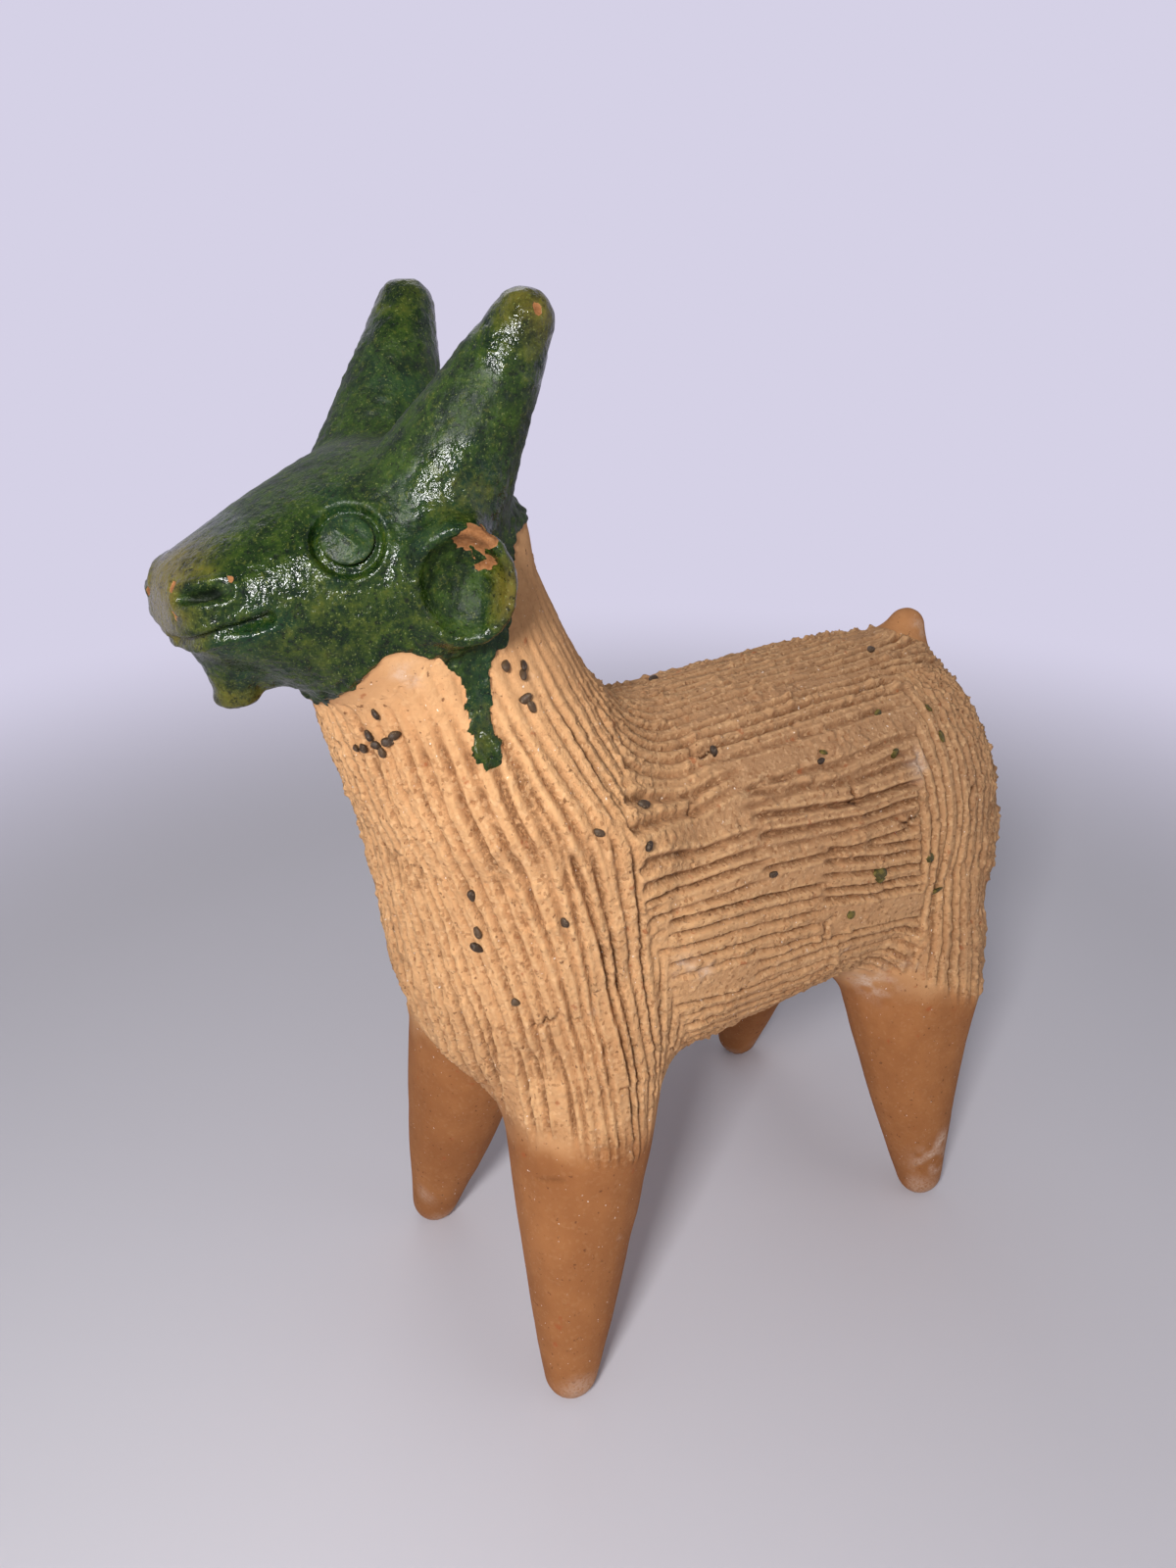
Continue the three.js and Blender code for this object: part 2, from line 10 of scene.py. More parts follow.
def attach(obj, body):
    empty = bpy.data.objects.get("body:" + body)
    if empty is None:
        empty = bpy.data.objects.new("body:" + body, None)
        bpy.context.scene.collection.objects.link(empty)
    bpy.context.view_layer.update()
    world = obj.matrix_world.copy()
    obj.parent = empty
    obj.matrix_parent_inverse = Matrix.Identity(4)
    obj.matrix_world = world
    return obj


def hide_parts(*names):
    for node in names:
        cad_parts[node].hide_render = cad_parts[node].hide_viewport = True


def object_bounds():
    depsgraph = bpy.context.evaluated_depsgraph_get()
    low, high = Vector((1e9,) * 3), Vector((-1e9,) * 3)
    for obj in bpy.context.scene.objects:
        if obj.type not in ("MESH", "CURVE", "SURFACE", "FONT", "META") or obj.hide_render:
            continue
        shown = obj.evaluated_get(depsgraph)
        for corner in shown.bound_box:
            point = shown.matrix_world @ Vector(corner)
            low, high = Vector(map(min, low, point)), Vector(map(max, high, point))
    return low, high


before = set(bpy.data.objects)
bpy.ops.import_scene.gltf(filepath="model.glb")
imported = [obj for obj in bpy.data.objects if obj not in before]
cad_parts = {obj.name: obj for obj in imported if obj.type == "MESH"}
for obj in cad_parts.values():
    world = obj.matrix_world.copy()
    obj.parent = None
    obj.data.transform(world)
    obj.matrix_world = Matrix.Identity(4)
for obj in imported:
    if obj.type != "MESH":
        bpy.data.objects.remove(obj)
cad_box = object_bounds()
bpy.context.scene.view_settings.view_transform = "Standard"

# ----------------------------------------
# The form before any tool mark. Barrel and neck are hollow vessels of coiled clay, and the legs,
# head, horns, ears, beard and tail are solid lumps luted on. The potter wipes every joint over
# with wet fingers, so the whole animal has one skin with soft hollows where the lumps meet.
MM = 0.001
ROUGH_LUMP = 1.8  # mm, how finely the clay is worked while it is put together
WIPED_LUMP = 1.1  # mm, while its joints are wiped
CLAY_FINENESS = 0.55  # mm, and in the finished skin
GLUE = 0.4  # mm, by which a lump is pressed into the next
JOINT_HOLLOW = 3.0  # mm, how round the wiped joints of the head are
LEG_HOLLOW = 9.0  # mm, and those of the legs and the tail
# How far the hips swell over the hind legs, in mm: the height, then the swell.
HIP_SWELL = [(28, 0), (50, 2.4), (63, 5.2), (82, 4.8), (100, 1.6), (116, 0)]
WALL = 6.5  # mm
FILLER_PLACE = (-31.3, 0, 172.3)  # mm, the middle of the hole in the nape
FILLER_TURN = 0.96  # radians from upright, towards the tail
FILLER_RADIUS = 7.0
FILLER_DEPTH = 26.0
LEGS = ["front_left_leg", "front_right_leg", "rear_left_leg", "rear_right_leg"]
LUMPS = [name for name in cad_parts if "vessel" not in name and "eye" not in name]


def pick(thing):
    bpy.ops.object.select_all(action="DESELECT")
    thing.hide_set(False)
    thing.select_set(True)
    bpy.context.view_layer.objects.active = thing


def work(thing, kind, **settings):
    """One modifier, applied at once."""
    pick(thing)
    modifier = thing.modifiers.new(kind, kind)
    for name, value in settings.items():
        setattr(modifier, name, value)
    bpy.ops.object.modifier_apply(modifier=modifier.name)


def knead(thing, fineness):
    work(thing, "REMESH", mode="VOXEL", voxel_size=fineness * MM)


def swell_by(thing, distance):
    work(thing, "DISPLACE", strength=distance * MM, mid_level=0)


def smooth(thing, times_over):
    work(thing, "SMOOTH", factor=0.5, iterations=times_over)


def edit(thing, step, **settings):
    """One step of mesh editing, on all of a thing."""
    pick(thing)
    bpy.ops.object.mode_set(mode="EDIT")
    bpy.ops.mesh.select_all(action="SELECT")
    step(**settings)
    bpy.ops.object.mode_set(mode="OBJECT")


def stand(thing):
    bpy.context.scene.collection.objects.link(thing)
    return thing


def copy_of(thing):
    copy = stand(thing.copy())
    copy.data = thing.data.copy()
    copy.parent = None
    return copy


def join(first, *others):
    pick(first)
    for other in others:
        other.select_set(True)
    bpy.ops.object.join()
    return first


def lump_of(*nodes):
    """A copy of these solids of the frame, as one mesh with its points merged."""
    lump = join(*[copy_of(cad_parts[node]) for node in nodes])
    edit(lump, bpy.ops.mesh.remove_doubles, threshold=1e-6)
    lump.data.materials.clear()
    return lump


def largest_shell(thing):
    """The largest loose part of a thing. The others are thrown away."""
    edit(thing, bpy.ops.mesh.separate, type="LOOSE")
    shells = sorted(bpy.context.selected_objects, key=lambda shell: -shell.dimensions.length)
    for shell in shells[1:]:
        bpy.data.objects.remove(shell)
    return shells[0]


def peg(radius, depth, **settings):
    """A round peg where the filler hole goes."""
    bpy.ops.mesh.primitive_cylinder_add(
        radius=radius * MM, depth=depth * MM, location=Vector(FILLER_PLACE) * MM,
        rotation=(0, FILLER_TURN, 0), **settings)
    return bpy.context.object


# The vessel, closed at the nape for now, and the same form drawn in by the wall: its hollow.
vessel = lump_of("trunk_vessel", "neck_vessel", "head")
swell_by(vessel, GLUE)
join(vessel, peg(FILLER_RADIUS + GLUE, 6))
knead(vessel, ROUGH_LUMP)
smooth(vessel, 16)
hollow = copy_of(vessel)
swell_by(hollow, -WALL)
knead(hollow, ROUGH_LUMP)
hollow = largest_shell(hollow)
work(vessel, "SUBSURF", levels=1, render_levels=1)

# Swollen and drawn in again, the clay stays in the corners between trunk, legs and tail.
body = lump_of("trunk_vessel", "neck_vessel", "tail", *LEGS)
knead(body, ROUGH_LUMP)
swell_by(body, LEG_HOLLOW)
knead(body, ROUGH_LUMP)
smooth(body, 5)
swell_by(body, -LEG_HOLLOW)
knead(body, ROUGH_LUMP)
smooth(body, 14)
work(body, "SUBSURF", levels=1, render_levels=1)

skin = join(lump_of(*LUMPS), vessel, body)
knead(skin, WIPED_LUMP)
swell_by(skin, JOINT_HOLLOW)
knead(skin, WIPED_LUMP)
swell_by(skin, -JOINT_HOLLOW)
knead(skin, CLAY_FINENESS)
skin = largest_shell(skin)
smooth(skin, 8)


def values_of(items, key, kind=float, width=1):
    """One value of each item of a mesh, as an array."""
    flat = np.empty(width * len(items), dtype=kind)
    items.foreach_get(key, flat)
    return flat if width == 1 else flat.reshape(-1, width)


def points_of(thing):
    """The points of a mesh, in mm."""
    return values_of(thing.data.vertices, "co", width=3) / MM


def set_points(thing, points):
    thing.data.vertices.foreach_set("co", (points * MM).ravel())
    thing.data.update()


def facing_of(thing):
    return values_of(thing.data.vertex_normals, "vector", width=3)


def bell(value, width):
    return np.exp(-(value / width) ** 2)


def mottle(points, size, seed):
    """Smooth random values from -1 to 1, in patches of about this size in mm."""
    place = points / size + 1000.0
    cell = np.floor(place).astype(np.int64)
    f = place - cell
    f = f * f * (3 - 2 * f)
    table = np.random.default_rng(seed).uniform(-1, 1, 8192)
    total = np.zeros(len(points))
    for corner in range(8):
        step = np.array([corner & 1, corner >> 1 & 1, corner >> 2])
        key = (cell + step) * np.array([73856093, 19349663, 83492791])
        weight = np.where(step, f, 1 - f).prod(axis=1)
        total += weight * table[(key[:, 0] ^ key[:, 1] ^ key[:, 2]) % 8192]
    return total


def rise(value, low, high):
    """0 up to low and 1 from high on, with a soft step between."""
    t = np.clip((value - low) / (high - low), 0, 1)
    return t * t * (3 - 2 * t)


# Each place on the skin belongs to the lump that it was raised from.
NODES = list(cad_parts)
cad_points, cad_faces, cad_owner = [], [], []
for number, name in enumerate(NODES):
    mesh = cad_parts[name].data
    start = len(cad_points)
    cad_points += [v.co.copy() for v in mesh.vertices]
    cad_faces += [[start + i for i in face.vertices] for face in mesh.polygons]
    cad_owner += [number] * len(mesh.polygons)
cad_tree = BVHTree.FromPolygons(cad_points, cad_faces)
points = points_of(skin)
owner = np.array([cad_owner[cad_tree.find_nearest(Vector(p) * MM)[2]] for p in points])
EYES = [NODES.index(name) for name in ("left_eye", "right_eye")]
edges = values_of(skin.data.edges, "vertices", np.int64, 2)
for _ in range(6):
    votes = np.zeros(len(points) * len(NODES))
    for a, b in ((0, 1), (1, 0)):
        votes += np.bincount(edges[:, a] * len(NODES) + owner[edges[:, b]], minlength=len(votes))
    votes += 0.5 * np.bincount(np.arange(len(points)) * len(NODES) + owner, minlength=len(votes))
    owner = votes.reshape(len(points), len(NODES)).argmax(axis=1)
    owner[np.isin(owner, EYES)] = NODES.index("head")


def of(*names):
    """Which points of the skin belong to these lumps."""
    return np.isin(owner, [NODES.index(name) for name in names])


# The clay was beaten and thumbed into shape, so nothing on it is quite even.
facing = facing_of(skin)
uneven = 0.28 * mottle(points, 17, 1) + 0.16 * mottle(points, 7, 2)
uneven += np.interp(points[:, 2], *zip(*HIP_SWELL)) * rise(points[:, 0], 64, 82)
points = points + facing * uneven[:, None]
x, y, z = points.T

# ----------------------------------------
# The face, worked into the soft head with a stick: a ring pressed round each eye, two slit
# nostrils, and a mouth drawn from the front of the muzzle up to its corners.
EYE_RADIUS = 4.3  # mm
RING_MIDDLE = 5.1
MOUTH_LINE = [
    (-103, 0, 186.3), (-101.9, -6.4, 187.3), (-101.2, -9.4, 188.0), (-99.7, -12.1, 189.0),
    (-97.7, -13.2, 189.8), (-95.5, -14.0, 190.2), (-93.3, -14.6, 190.7), (-91.2, -15.3, 191.4)]
NOSTRIL_LINE = [
    (-102.2, -7.6, 194.6), (-101.3, -9.0, 195.1), (-99.0, -10.8, 195.6), (-96.6, -12.1, 196.0)]
SIDES = {"left": 1, "right": -1}


def seat_of(side):
    """Middle of the eye and the way it faces, from the pellet in the frame."""
    spots = points_of(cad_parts[side + "_eye"])
    middle = spots.mean(axis=0)
    way = np.linalg.svd(spots - middle)[2][2]
    return middle, way * np.sign(way[1] * middle[1])


def along_line(points, line):
    """Distance from the nearest place of a line, and how far along it that is, from 0 to 1."""
    line = np.array(line, dtype=float)
    steps = np.linalg.norm(np.diff(line, axis=0), axis=1)
    before = np.concatenate([[0], np.cumsum(steps)])
    best = np.full(len(points), 1e9)
    where = np.zeros(len(points))
    for a, b, start, step in zip(line[:-1], line[1:], before, steps):
        t = np.clip((points - a) @ (b - a) / step ** 2, 0, 1)
        distance = np.linalg.norm(points - a - t[:, None] * (b - a), axis=1)
        closer = distance < best
        best = np.where(closer, distance, best)
        where = np.where(closer, (start + t * step) / before[-1], where)
    return best, where


dent = np.zeros(len(points))
inside = np.zeros(len(points))
bare = np.zeros(len(points))
facing = facing_of(skin)
face = x < -60  # mm
for side, sign in SIDES.items():
    middle, way = seat_of(side)
    reach = points - middle
    height = reach @ way
    flat = reach - height[:, None] * way
    radius = np.linalg.norm(flat, axis=1)
    lit = (flat @ np.array([0.5, 0, -0.85])) / np.maximum(radius, 1)
    near = (radius < 9.5) & (np.abs(height) < 7)
    ring = 1.6 * bell(radius - RING_MIDDLE, 0.66) * (0.85 - 0.3 * lit)
    floor = 0.75 * rise(EYE_RADIUS + 0.4 - radius, 0, 0.8)
    lip = 0.42 * bell(radius - 6.5, 0.6) * (0.6 + 0.6 * lit)
    dent += np.where(near, np.maximum(ring, floor) - lip, 0)
    mirrored = [(a, sign * b, c) for a, b, c in MOUTH_LINE]
    gap, where = along_line(points[face], mirrored)
    slit = (1.3 + 1.3 * rise(where, 0.45, 0.95)) * bell(gap, 0.62 + 0.33 * where)
    slit -= 0.45 * bell(gap - 1.7, 0.7) * (1 - 0.4 * where)
    dent[face] += slit
    mirrored = [(a, sign * b, c) for a, b, c in NOSTRIL_LINE]
    gap, where = along_line(points[face], mirrored)
    leaf = np.sin(np.pi * np.clip(0.12 + 0.8 * where, 0, 1))
    dent[face] += 3.0 * leaf * bell(gap, 0.85) - 0.4 * bell(gap - 2.0, 0.6)
    # Inside marks painted shade down in the nostril slit.
    inside[face] = np.maximum(inside[face], np.clip(1.5 * leaf * bell(gap, 1.0), 0, 1))
points = points - facing * dent[:, None]

# The ears are little dishes: a thumb pressed into each disc of clay leaves a hollow with a rim
# that is highest above and behind, and that runs out into the cheek in front.
EAR_HOLLOW = 4.8  # mm deep
EAR_INSIDE = 7.2  # mm, radius of the hollow
EAR_TALL = 1.17  # height over width
EAR_TURN = math.radians(28)  # from straight out, towards the front
for side, sign in SIDES.items():
    way = np.array([-math.sin(EAR_TURN), -sign * math.cos(EAR_TURN), 0])
    spots = points_of(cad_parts[side + "_ear"])
    height = spots @ way
    rim = spots[height > height.max() - 0.8]
    middle = (rim.min(axis=0) + rim.max(axis=0)) / 2
    reach = points - middle
    height = reach @ way
    back = np.array([math.cos(EAR_TURN), -sign * math.sin(EAR_TURN), 0])
    radius = np.hypot(reach @ back, reach[:, 2] / EAR_TALL)
    behind = (reach @ back + 0.6 * reach[:, 2]) / np.maximum(radius, 1)
    near = (radius < 11) & (height > -7) & (height < 4) & of(side + "_ear", "head")
    dish = EAR_HOLLOW * np.clip(1 - (radius / EAR_INSIDE) ** 2, 0, 1) ** 0.75
    # Inside marks painted shade in the hollow of the ear.
    inside = np.maximum(inside, near * 0.3 * dish / EAR_HOLLOW)
    target = -dish - 0.8 * rise(radius, 7.2, 9.5)
    swell = 1.2 * bell(radius - 8.2, 0.9) * (0.5 + 0.5 * behind)
    sink = np.clip(height - target, 0, 6) * (1 - rise(radius, 7.4, 8.6))
    sink = np.where(near & (radius < 8.6), sink, 0)
    swell = np.where(near & of(side + "_ear"), swell, 0)
    points = points - way * sink[:, None] + way * swell[:, None]

# ----------------------------------------
# The coat. A toothed strip is drawn through the leather-hard clay of barrel, rump and neck in
# short strokes of five to seven teeth, so that seeds catch in the grooves: lengthwise along the
# barrel, down the rump, and down the neck over the shoulders. Legs, tail and head stay smooth.
TOOTH = 3.25  # mm from one tooth to the next
SCORE = 1.7  # mm deep
COAT_ENDS_FRONT = 74  # mm above the ground, on the front legs
COAT_ENDS_REAR = [(50, 79), (58, 78), (64, 72), (72, 65), (84, 61)]  # place along x, then height
SPINE = [
    (-39.3, 199), (-37.5, 190), (-35, 181), (-31.5, 172), (-27, 164), (-21, 157.6),
    (-13, 154.5), (-2, 153.5), (20, 153.3), (45, 153.2), (62, 153.2), (75, 152.5), (90, 148)]
NECK_BACK = [
    (-41, 202), (-37, 191), (-33.5, 180), (-30, 169), (-27, 158), (-24, 147), (-21.5, 136),
    (-19.5, 125), (-18, 114), (-17, 103), (-16, 92), (-15, 76), (-16, 56)]
NECK_FRONT = [
    (-83, 178), (-80, 168), (-77.5, 159), (-75, 150), (-72, 141), (-69.5, 132), (-66.5, 122),
    (-64, 113), (-61.5, 105), (-59, 97), (-57, 85), (-56, 70), (-55, 54)]
NECK_HALF = [
    23, 23.5, 24.5, 26, 28.5, 31.5, 34.5, 37, 38.5, 39.3, 39.5, 39.5, 39.5]
# The lengthwise strokes of the barrel start behind the first seam and end at the second.
# A seam is given by its height, then its place along x.
SHOULDER_SEAM = [
    (60, -9), (87, -16), (107, -25), (120, -30), (135, -34), (147, -37), (152, -33),
    (158, -25.6), (170, -27), (200, -34)]
RUMP_SEAM = [
    (80, 55), (87, 57), (100, 54), (112, 49.5), (123, 47.6), (132, 50), (139, 52.4), (146, 57),
    (150, 61), (160, 63)]

BARREL_MIDDLE, BARREL_RADIUS = 112, 38.6  # mm, its height and its size, for the flanks
RUMP_MIDDLE, RUMP_RADIUS = 61.7, 39  # mm, where the rump starts to round off, and its size

# Where each point lies on the back: how far from the nape along the spine, and how far down from
# the spine over the flank.
x, y, z = points.T
side_of = np.where(y < 0, 1.0, -1.0)
spine = np.array([(a, 0, b) for a, b in SPINE])
flat_points = points * np.array([1, 0, 1])
drop, spine_at = along_line(flat_points, spine)
spine_length = np.linalg.norm(np.diff(spine, axis=0), axis=1).sum()
from_nape = spine_at * spine_length
from_spine = np.hypot(y, drop) * 1.06
barrel_turn = np.arctan2(np.abs(y), z - BARREL_MIDDLE) * BARREL_RADIUS
flank = rise(from_spine, 18, 52) * rise(x, -46, -34)
from_spine = from_spine * (1 - flank) + barrel_turn * flank
from_nape = from_nape * (1 - flank) + (x + 68) * flank

# Where it lies on the neck: the station between nape and breast, and the turn round its axis.
upper, lower = np.array(NECK_BACK, float), np.array(NECK_FRONT, float)
station = np.full(len(points), -1.0)
previous = None
for k, (u, l) in enumerate(zip(upper, lower)):
    turned = (u[0] - l[0]) * (z - l[1]) - (u[1] - l[1]) * (x - l[0])
    if previous is not None:
        crossed = (station < 0) & (previous * turned <= 0) & (turned != 0)
        share = previous / np.where(previous == turned, 1, previous - turned)
        station = np.where(crossed, k - 1 + share, station)
    previous = turned
on_neck = station >= 0
middles = (upper + lower) / 2
neck_steps = np.linalg.norm(np.diff(middles, axis=0), axis=1)
middle_x, middle_z, axis_x, axis_z, half_wide, down = (
    np.interp(station, np.arange(len(upper)), values)
    for values in (*middles.T, *((upper - lower) / 2).T, NECK_HALF,
                   np.concatenate([[0], np.cumsum(neck_steps)])))
half_deep = np.hypot(axis_x, axis_z)
backward = ((x - middle_x) * axis_x + (z - middle_z) * axis_z) / half_deep ** 2
turn = np.arctan2(np.abs(y) / half_wide, backward)
turn = np.where(y < 0, turn, 2 * np.pi - turn)
neck_radius = (half_deep + half_wide) / 2

groove = np.zeros(len(points))
lip = np.zeros(len(points))
wander = 0.5 * mottle(points, 15, 5) + 0.2 * mottle(points, 5, 6)
chatter = 0.84 + 0.3 * mottle(points, 3.4, 7) + 0.16 * mottle(points, 1.3, 8)
luck = np.random.default_rng(24)


def draw(along, across, keep, stroke, spread=1.0):
    """One stroke of the comb: its grooves, and the clay that they push up along their edges."""
    start, end, line, slope, bow, teeth, press = stroke
    off_line = across - line * spread
    beside = np.abs(off_line) < teeth * TOOTH / 2 + 8
    near = np.flatnonzero((keep > 0) & (along > start) & (along < end) & beside)
    if not len(near):
        return
    s = along[near] - (start + end) / 2
    t = off_line[near] - slope * s - bow * (s / 40) ** 2 + wander[near]
    shift = 0.5 * (teeth - 1)
    tooth = np.clip(np.round(t / TOOTH + shift), 0, teeth - 1).astype(int)
    set_of = luck.uniform(-0.5, 0.5, teeth)
    depth = luck.uniform(0.6, 1.2, teeth) * (luck.uniform(0, 1, teeth) > 0.05)
    broad = luck.uniform(0.5, 0.78, teeth)[tooth]
    off = t - (tooth - shift) * TOOTH - set_of[tooth]
    lift = np.minimum((along[near] - start) / 4, (end - along[near]) / 8)
    lift = np.clip(lift, 0, 1) ** 0.6 * keep[near]
    cut = SCORE * press * depth[tooth] * lift * chatter[near] * np.exp(-np.abs(off / broad) ** 2.4)
    push = 0.5 * lift * depth[tooth] * bell(np.abs(off - 0.15) - 1.15, 0.42)
    groove[near] = np.maximum(groove[near], cut)
    lip[near] = np.maximum(lip[near], push)


def strokes(first, last, start, end, lengths, jitter, width=1.0, falls=None):
    """Rows of strokes side by side from first to last, each row from start to end."""
    line = first
    while line < last:
        teeth = int(luck.integers(4, 8))
        half = teeth * TOOTH / 2 * width
        line += half
        at = start + luck.uniform(-6, 3)
        fall = 0 if falls is None else np.interp(line, *falls)
        while at < end:
            to = at + luck.uniform(*lengths)
            yield (at, to, line + luck.normal(0, 1.0) * width, fall + luck.normal(0, jitter),
                   luck.normal(0, 1.2), teeth, luck.uniform(0.7, 1.15))
            at = to - luck.uniform(3, 12)
        line += half + luck.choice([0, 0.2, 0.6, 1.6]) * width


upward = facing_of(skin)[:, 2]
behind_shoulder = x - np.interp(z, *zip(*SHOULDER_SEAM)) + 0.8 * mottle(points, 7, 10)
behind_seam = x - np.interp(z, *zip(*RUMP_SEAM)) + 0.8 * mottle(points, 6, 9)
combed = of("trunk_vessel", "neck_vessel", *LEGS)
FLANK_FALL = ([36, 60], [0, 0.16])  # mm down from the spine, then how steeply a stroke falls
on_barrel = combed * rise(z, 76, 80) * rise(behind_shoulder, -1, 1.5)
on_barrel = on_barrel * np.maximum(1 - rise(behind_seam, -1, 1.5), 1 - rise(from_spine, 15, 19))
on_barrel = on_barrel * (1 - rise(-upward, 0.72, 0.9)) * (1 - rise(x, 84, 92))
for left in (True, False):
    keep = on_barrel * ((y < 0) == left)
    first = -4 if left else -2
    for stroke in strokes(first, 100, 6, spine_length, (34, 80), 0.03, falls=FLANK_FALL):
        draw(from_nape, from_spine, keep, stroke)

past_middle = x - RUMP_MIDDLE
rump_round = np.arctan2(past_middle, np.abs(y)) * RUMP_RADIUS
rump_round = np.where(past_middle < 0, past_middle, rump_round)
coat_ends = np.interp(x, *zip(*COAT_ENDS_REAR)) + 2.5 * mottle(points, 5, 11)
on_rump = combed * rise(behind_seam, -1.5, 1)
on_rump = on_rump * np.maximum(rise(from_spine, 14, 18), rise(x, 84, 90))
on_rump = on_rump * rise(z - coat_ends, -2, 3) * (1 - rise(-upward, 0.6, 0.8))
on_rump = on_rump * rise(np.abs(y) + 0.35 * (x - 40), 20, 30)
for left in (True, False):
    keep = on_rump * ((y < 0) == left)
    for stroke in strokes(-24, 64, -156, -58, (40, 75), 0.03):
        draw(-z, rump_round, keep, stroke)

outward = facing_of(skin)
inner_leg = rise(outward[:, 1] * side_of - 0.2 * (outward[:, 0] < -0.5), -0.1, 0.3)
inner_leg = of(*LEGS) * inner_leg
on_chest = combed * on_neck * (1 - rise(behind_shoulder, -1.5, 1))
on_chest = on_chest * (1 - rise(-upward, 0.7, 0.85)) * (1 - inner_leg)
uneven_end = z + 3 * mottle(points, 4, 12) + 6 * mottle(points, 10, 38)
on_chest = on_chest * rise(uneven_end, COAT_ENDS_FRONT - 3, COAT_ENDS_FRONT + 6)
on_chest = on_chest * (0.3 + 0.7 * rise(176 - z, 0, 16))
# Here the rows lie side by side round the neck, in radians at its mean radius of 31 mm.
for stroke in strokes(0.35, 2 * math.pi - 0.35, 4, 150, (50, 105), 0.025, width=1 / 31):
    draw(down, turn * neck_radius, on_chest, stroke, spread=neck_radius)

# Crumbs that the teeth tore up lie along the grooves, thickest on the back and the rump. Small
# cracks and pits opened as the clay dried, and the dry clay is sandy all over.
CRACKS = [
    (-2.2, -20.6, 148.3), (48.7, -37.0, 124.7), (45.9, -37.5, 122.4), (-53.2, -29.6, 104.4),
    (-45, -37, 141), (-33, -37, 147), (-15, -31, 141), (12, -29, 141), (30, -35, 132),
    (70, -36, 126), (-40, -38, 118), (-58, -29, 118), (20, -37, 101), (52, 33, 133),
    (10, 37, 118), (-40, 36, 120), (88, 12, 128), (25, 20, 148), (-61, 24, 140), (95, -12, 100),
    (76, 30, 105)]
coated = np.clip(on_barrel + on_rump + on_chest, 0, 1)
rough_zone = 0.45 + 0.55 * rise(from_spine, 46, 8) * rise(x, -50, -20) + 0.5 * rise(x, 66, 84)
rough_zone = coated * np.clip(rough_zone, 0, 1)
patchy = 0.5 * mottle(points, 9, 15)
edge_crumbs = rise(mottle(points, 1.3, 13) + 0.8 * patchy, 0.25, 0.8) * np.clip(lip / 0.3, 0, 1)
crumbs = rise(mottle(points, 1.2, 14) + patchy, 0.42, 0.75)
crumbs += 0.8 * rise(mottle(points, 2.1, 18) + patchy, 0.55, 0.8)
clods = rise(mottle(points, 3.4, 34) + patchy, 0.52, 0.75)
clods *= 0.7 + 0.7 * mottle(points, 1.3, 35)
pits = rise(mottle(points, 1.9, 16), 0.7, 0.92)
scored = np.clip(groove / SCORE, 0, 1)
torn = np.zeros(len(points))
for spot in CRACKS:
    tip = np.array(spot, dtype=float)
    near = np.flatnonzero(np.abs(points - tip).max(axis=1) < 10)
    if not len(near):
        continue
    way = facing[near[np.linalg.norm(points[near] - tip, axis=1).argmin()]]
    along = np.cross(way, luck.normal(size=3))
    line = [tip]
    for _ in range(luck.integers(5, 9)):
        along = (along - way * (along @ way)
                 + 0.9 * np.linalg.norm(along) * np.cross(way, along) * luck.normal())
        along /= np.linalg.norm(along)
        line.append(line[-1] + along * luck.uniform(0.8, 2.0))
    gap, where = along_line(points[near], line)
    torn[near] = np.maximum(torn[near], bell(gap, 0.5) * (1 - 0.5 * where))
# A crease runs round the front of the near leg, where it was luted on.
LEG_CREASE = [(-54, -24, 65), (-53.5, -28.6, 64.5), (-50.6, -33.6, 66.6), (-45.8, -37.5, 66.4)]
crease, _ = along_line(points, LEG_CREASE)
torn = np.maximum(torn, 0.3 * bell(crease, 0.6) * rise(mottle(points, 3, 26), -0.3, 0.3))
relief = lip * (0.75 + 0.7 * mottle(points, 1.6, 19)) - groove
relief += coated * (0.3 * edge_crumbs + 0.11 * mottle(points, 1.1, 17))
relief += rough_zone * (0.5 * crumbs + 0.75 * clods) * (1 - 0.5 * scored)
relief -= 0.6 * coated * pits * (groove < 0.3) + 1.3 * torn

# ----------------------------------------
# The glaze. The goat was dipped head first in a thick green lead glaze, so head, horns, ears and
# beard are coated and the edge lies in a crusty line round the top of the neck, with drips. It is
# given by the angle round the neck from the throat, in degrees, and the height.
GLAZE_EDGE = [
    (0, 169.8), (15, 171), (32, 174.2), (44, 177.7), (50, 180.2), (55.5, 182.4), (61.5, 183.6),
    (69, 183.7), (77, 182.4), (84, 180), (89, 177.8), (90.8, 174), (91.5, 165), (92.6, 162.4),
    (95, 161.6), (98, 162.2), (99.6, 164.5), (100, 173), (101.2, 178), (104, 180.4), (110, 182),
    (118, 188), (124, 197), (133, 199), (150, 200), (180, 199)]
GLAZE_EDGE_FAR = [
    (0, 169.8), (20, 171.5), (45, 176), (60, 174), (66, 168), (70, 167), (74, 170), (80, 177),
    (100, 180), (115, 184), (124, 191), (128, 190), (135, 197), (150, 199), (180, 199)]
NECK_TOP = -62  # mm, where the middle of the neck's top lies along x
DIPPED = ["head", "beard", "left_horn", "right_horn", "left_ear", "right_ear"]
round_neck = np.degrees(np.arctan2(np.abs(y), NECK_TOP - x))
round_neck = round_neck + 1.7 * mottle(points, 2.6, 20) + 1.5 * mottle(points, 1.1, 27)
near_edge, far_edge = (np.interp(round_neck, *zip(*e)) for e in (GLAZE_EDGE, GLAZE_EDGE_FAR))
edge = np.where(y < 0, near_edge, far_edge)
above_edge = z - edge + 0.7 * mottle(points, 3.1, 21) + 0.35 * mottle(points, 1.2, 22)
dipped = np.where(of("neck_vessel", "head"), above_edge, -9.0)
dipped = np.where(of(*DIPPED[1:]), 9.0, dipped)
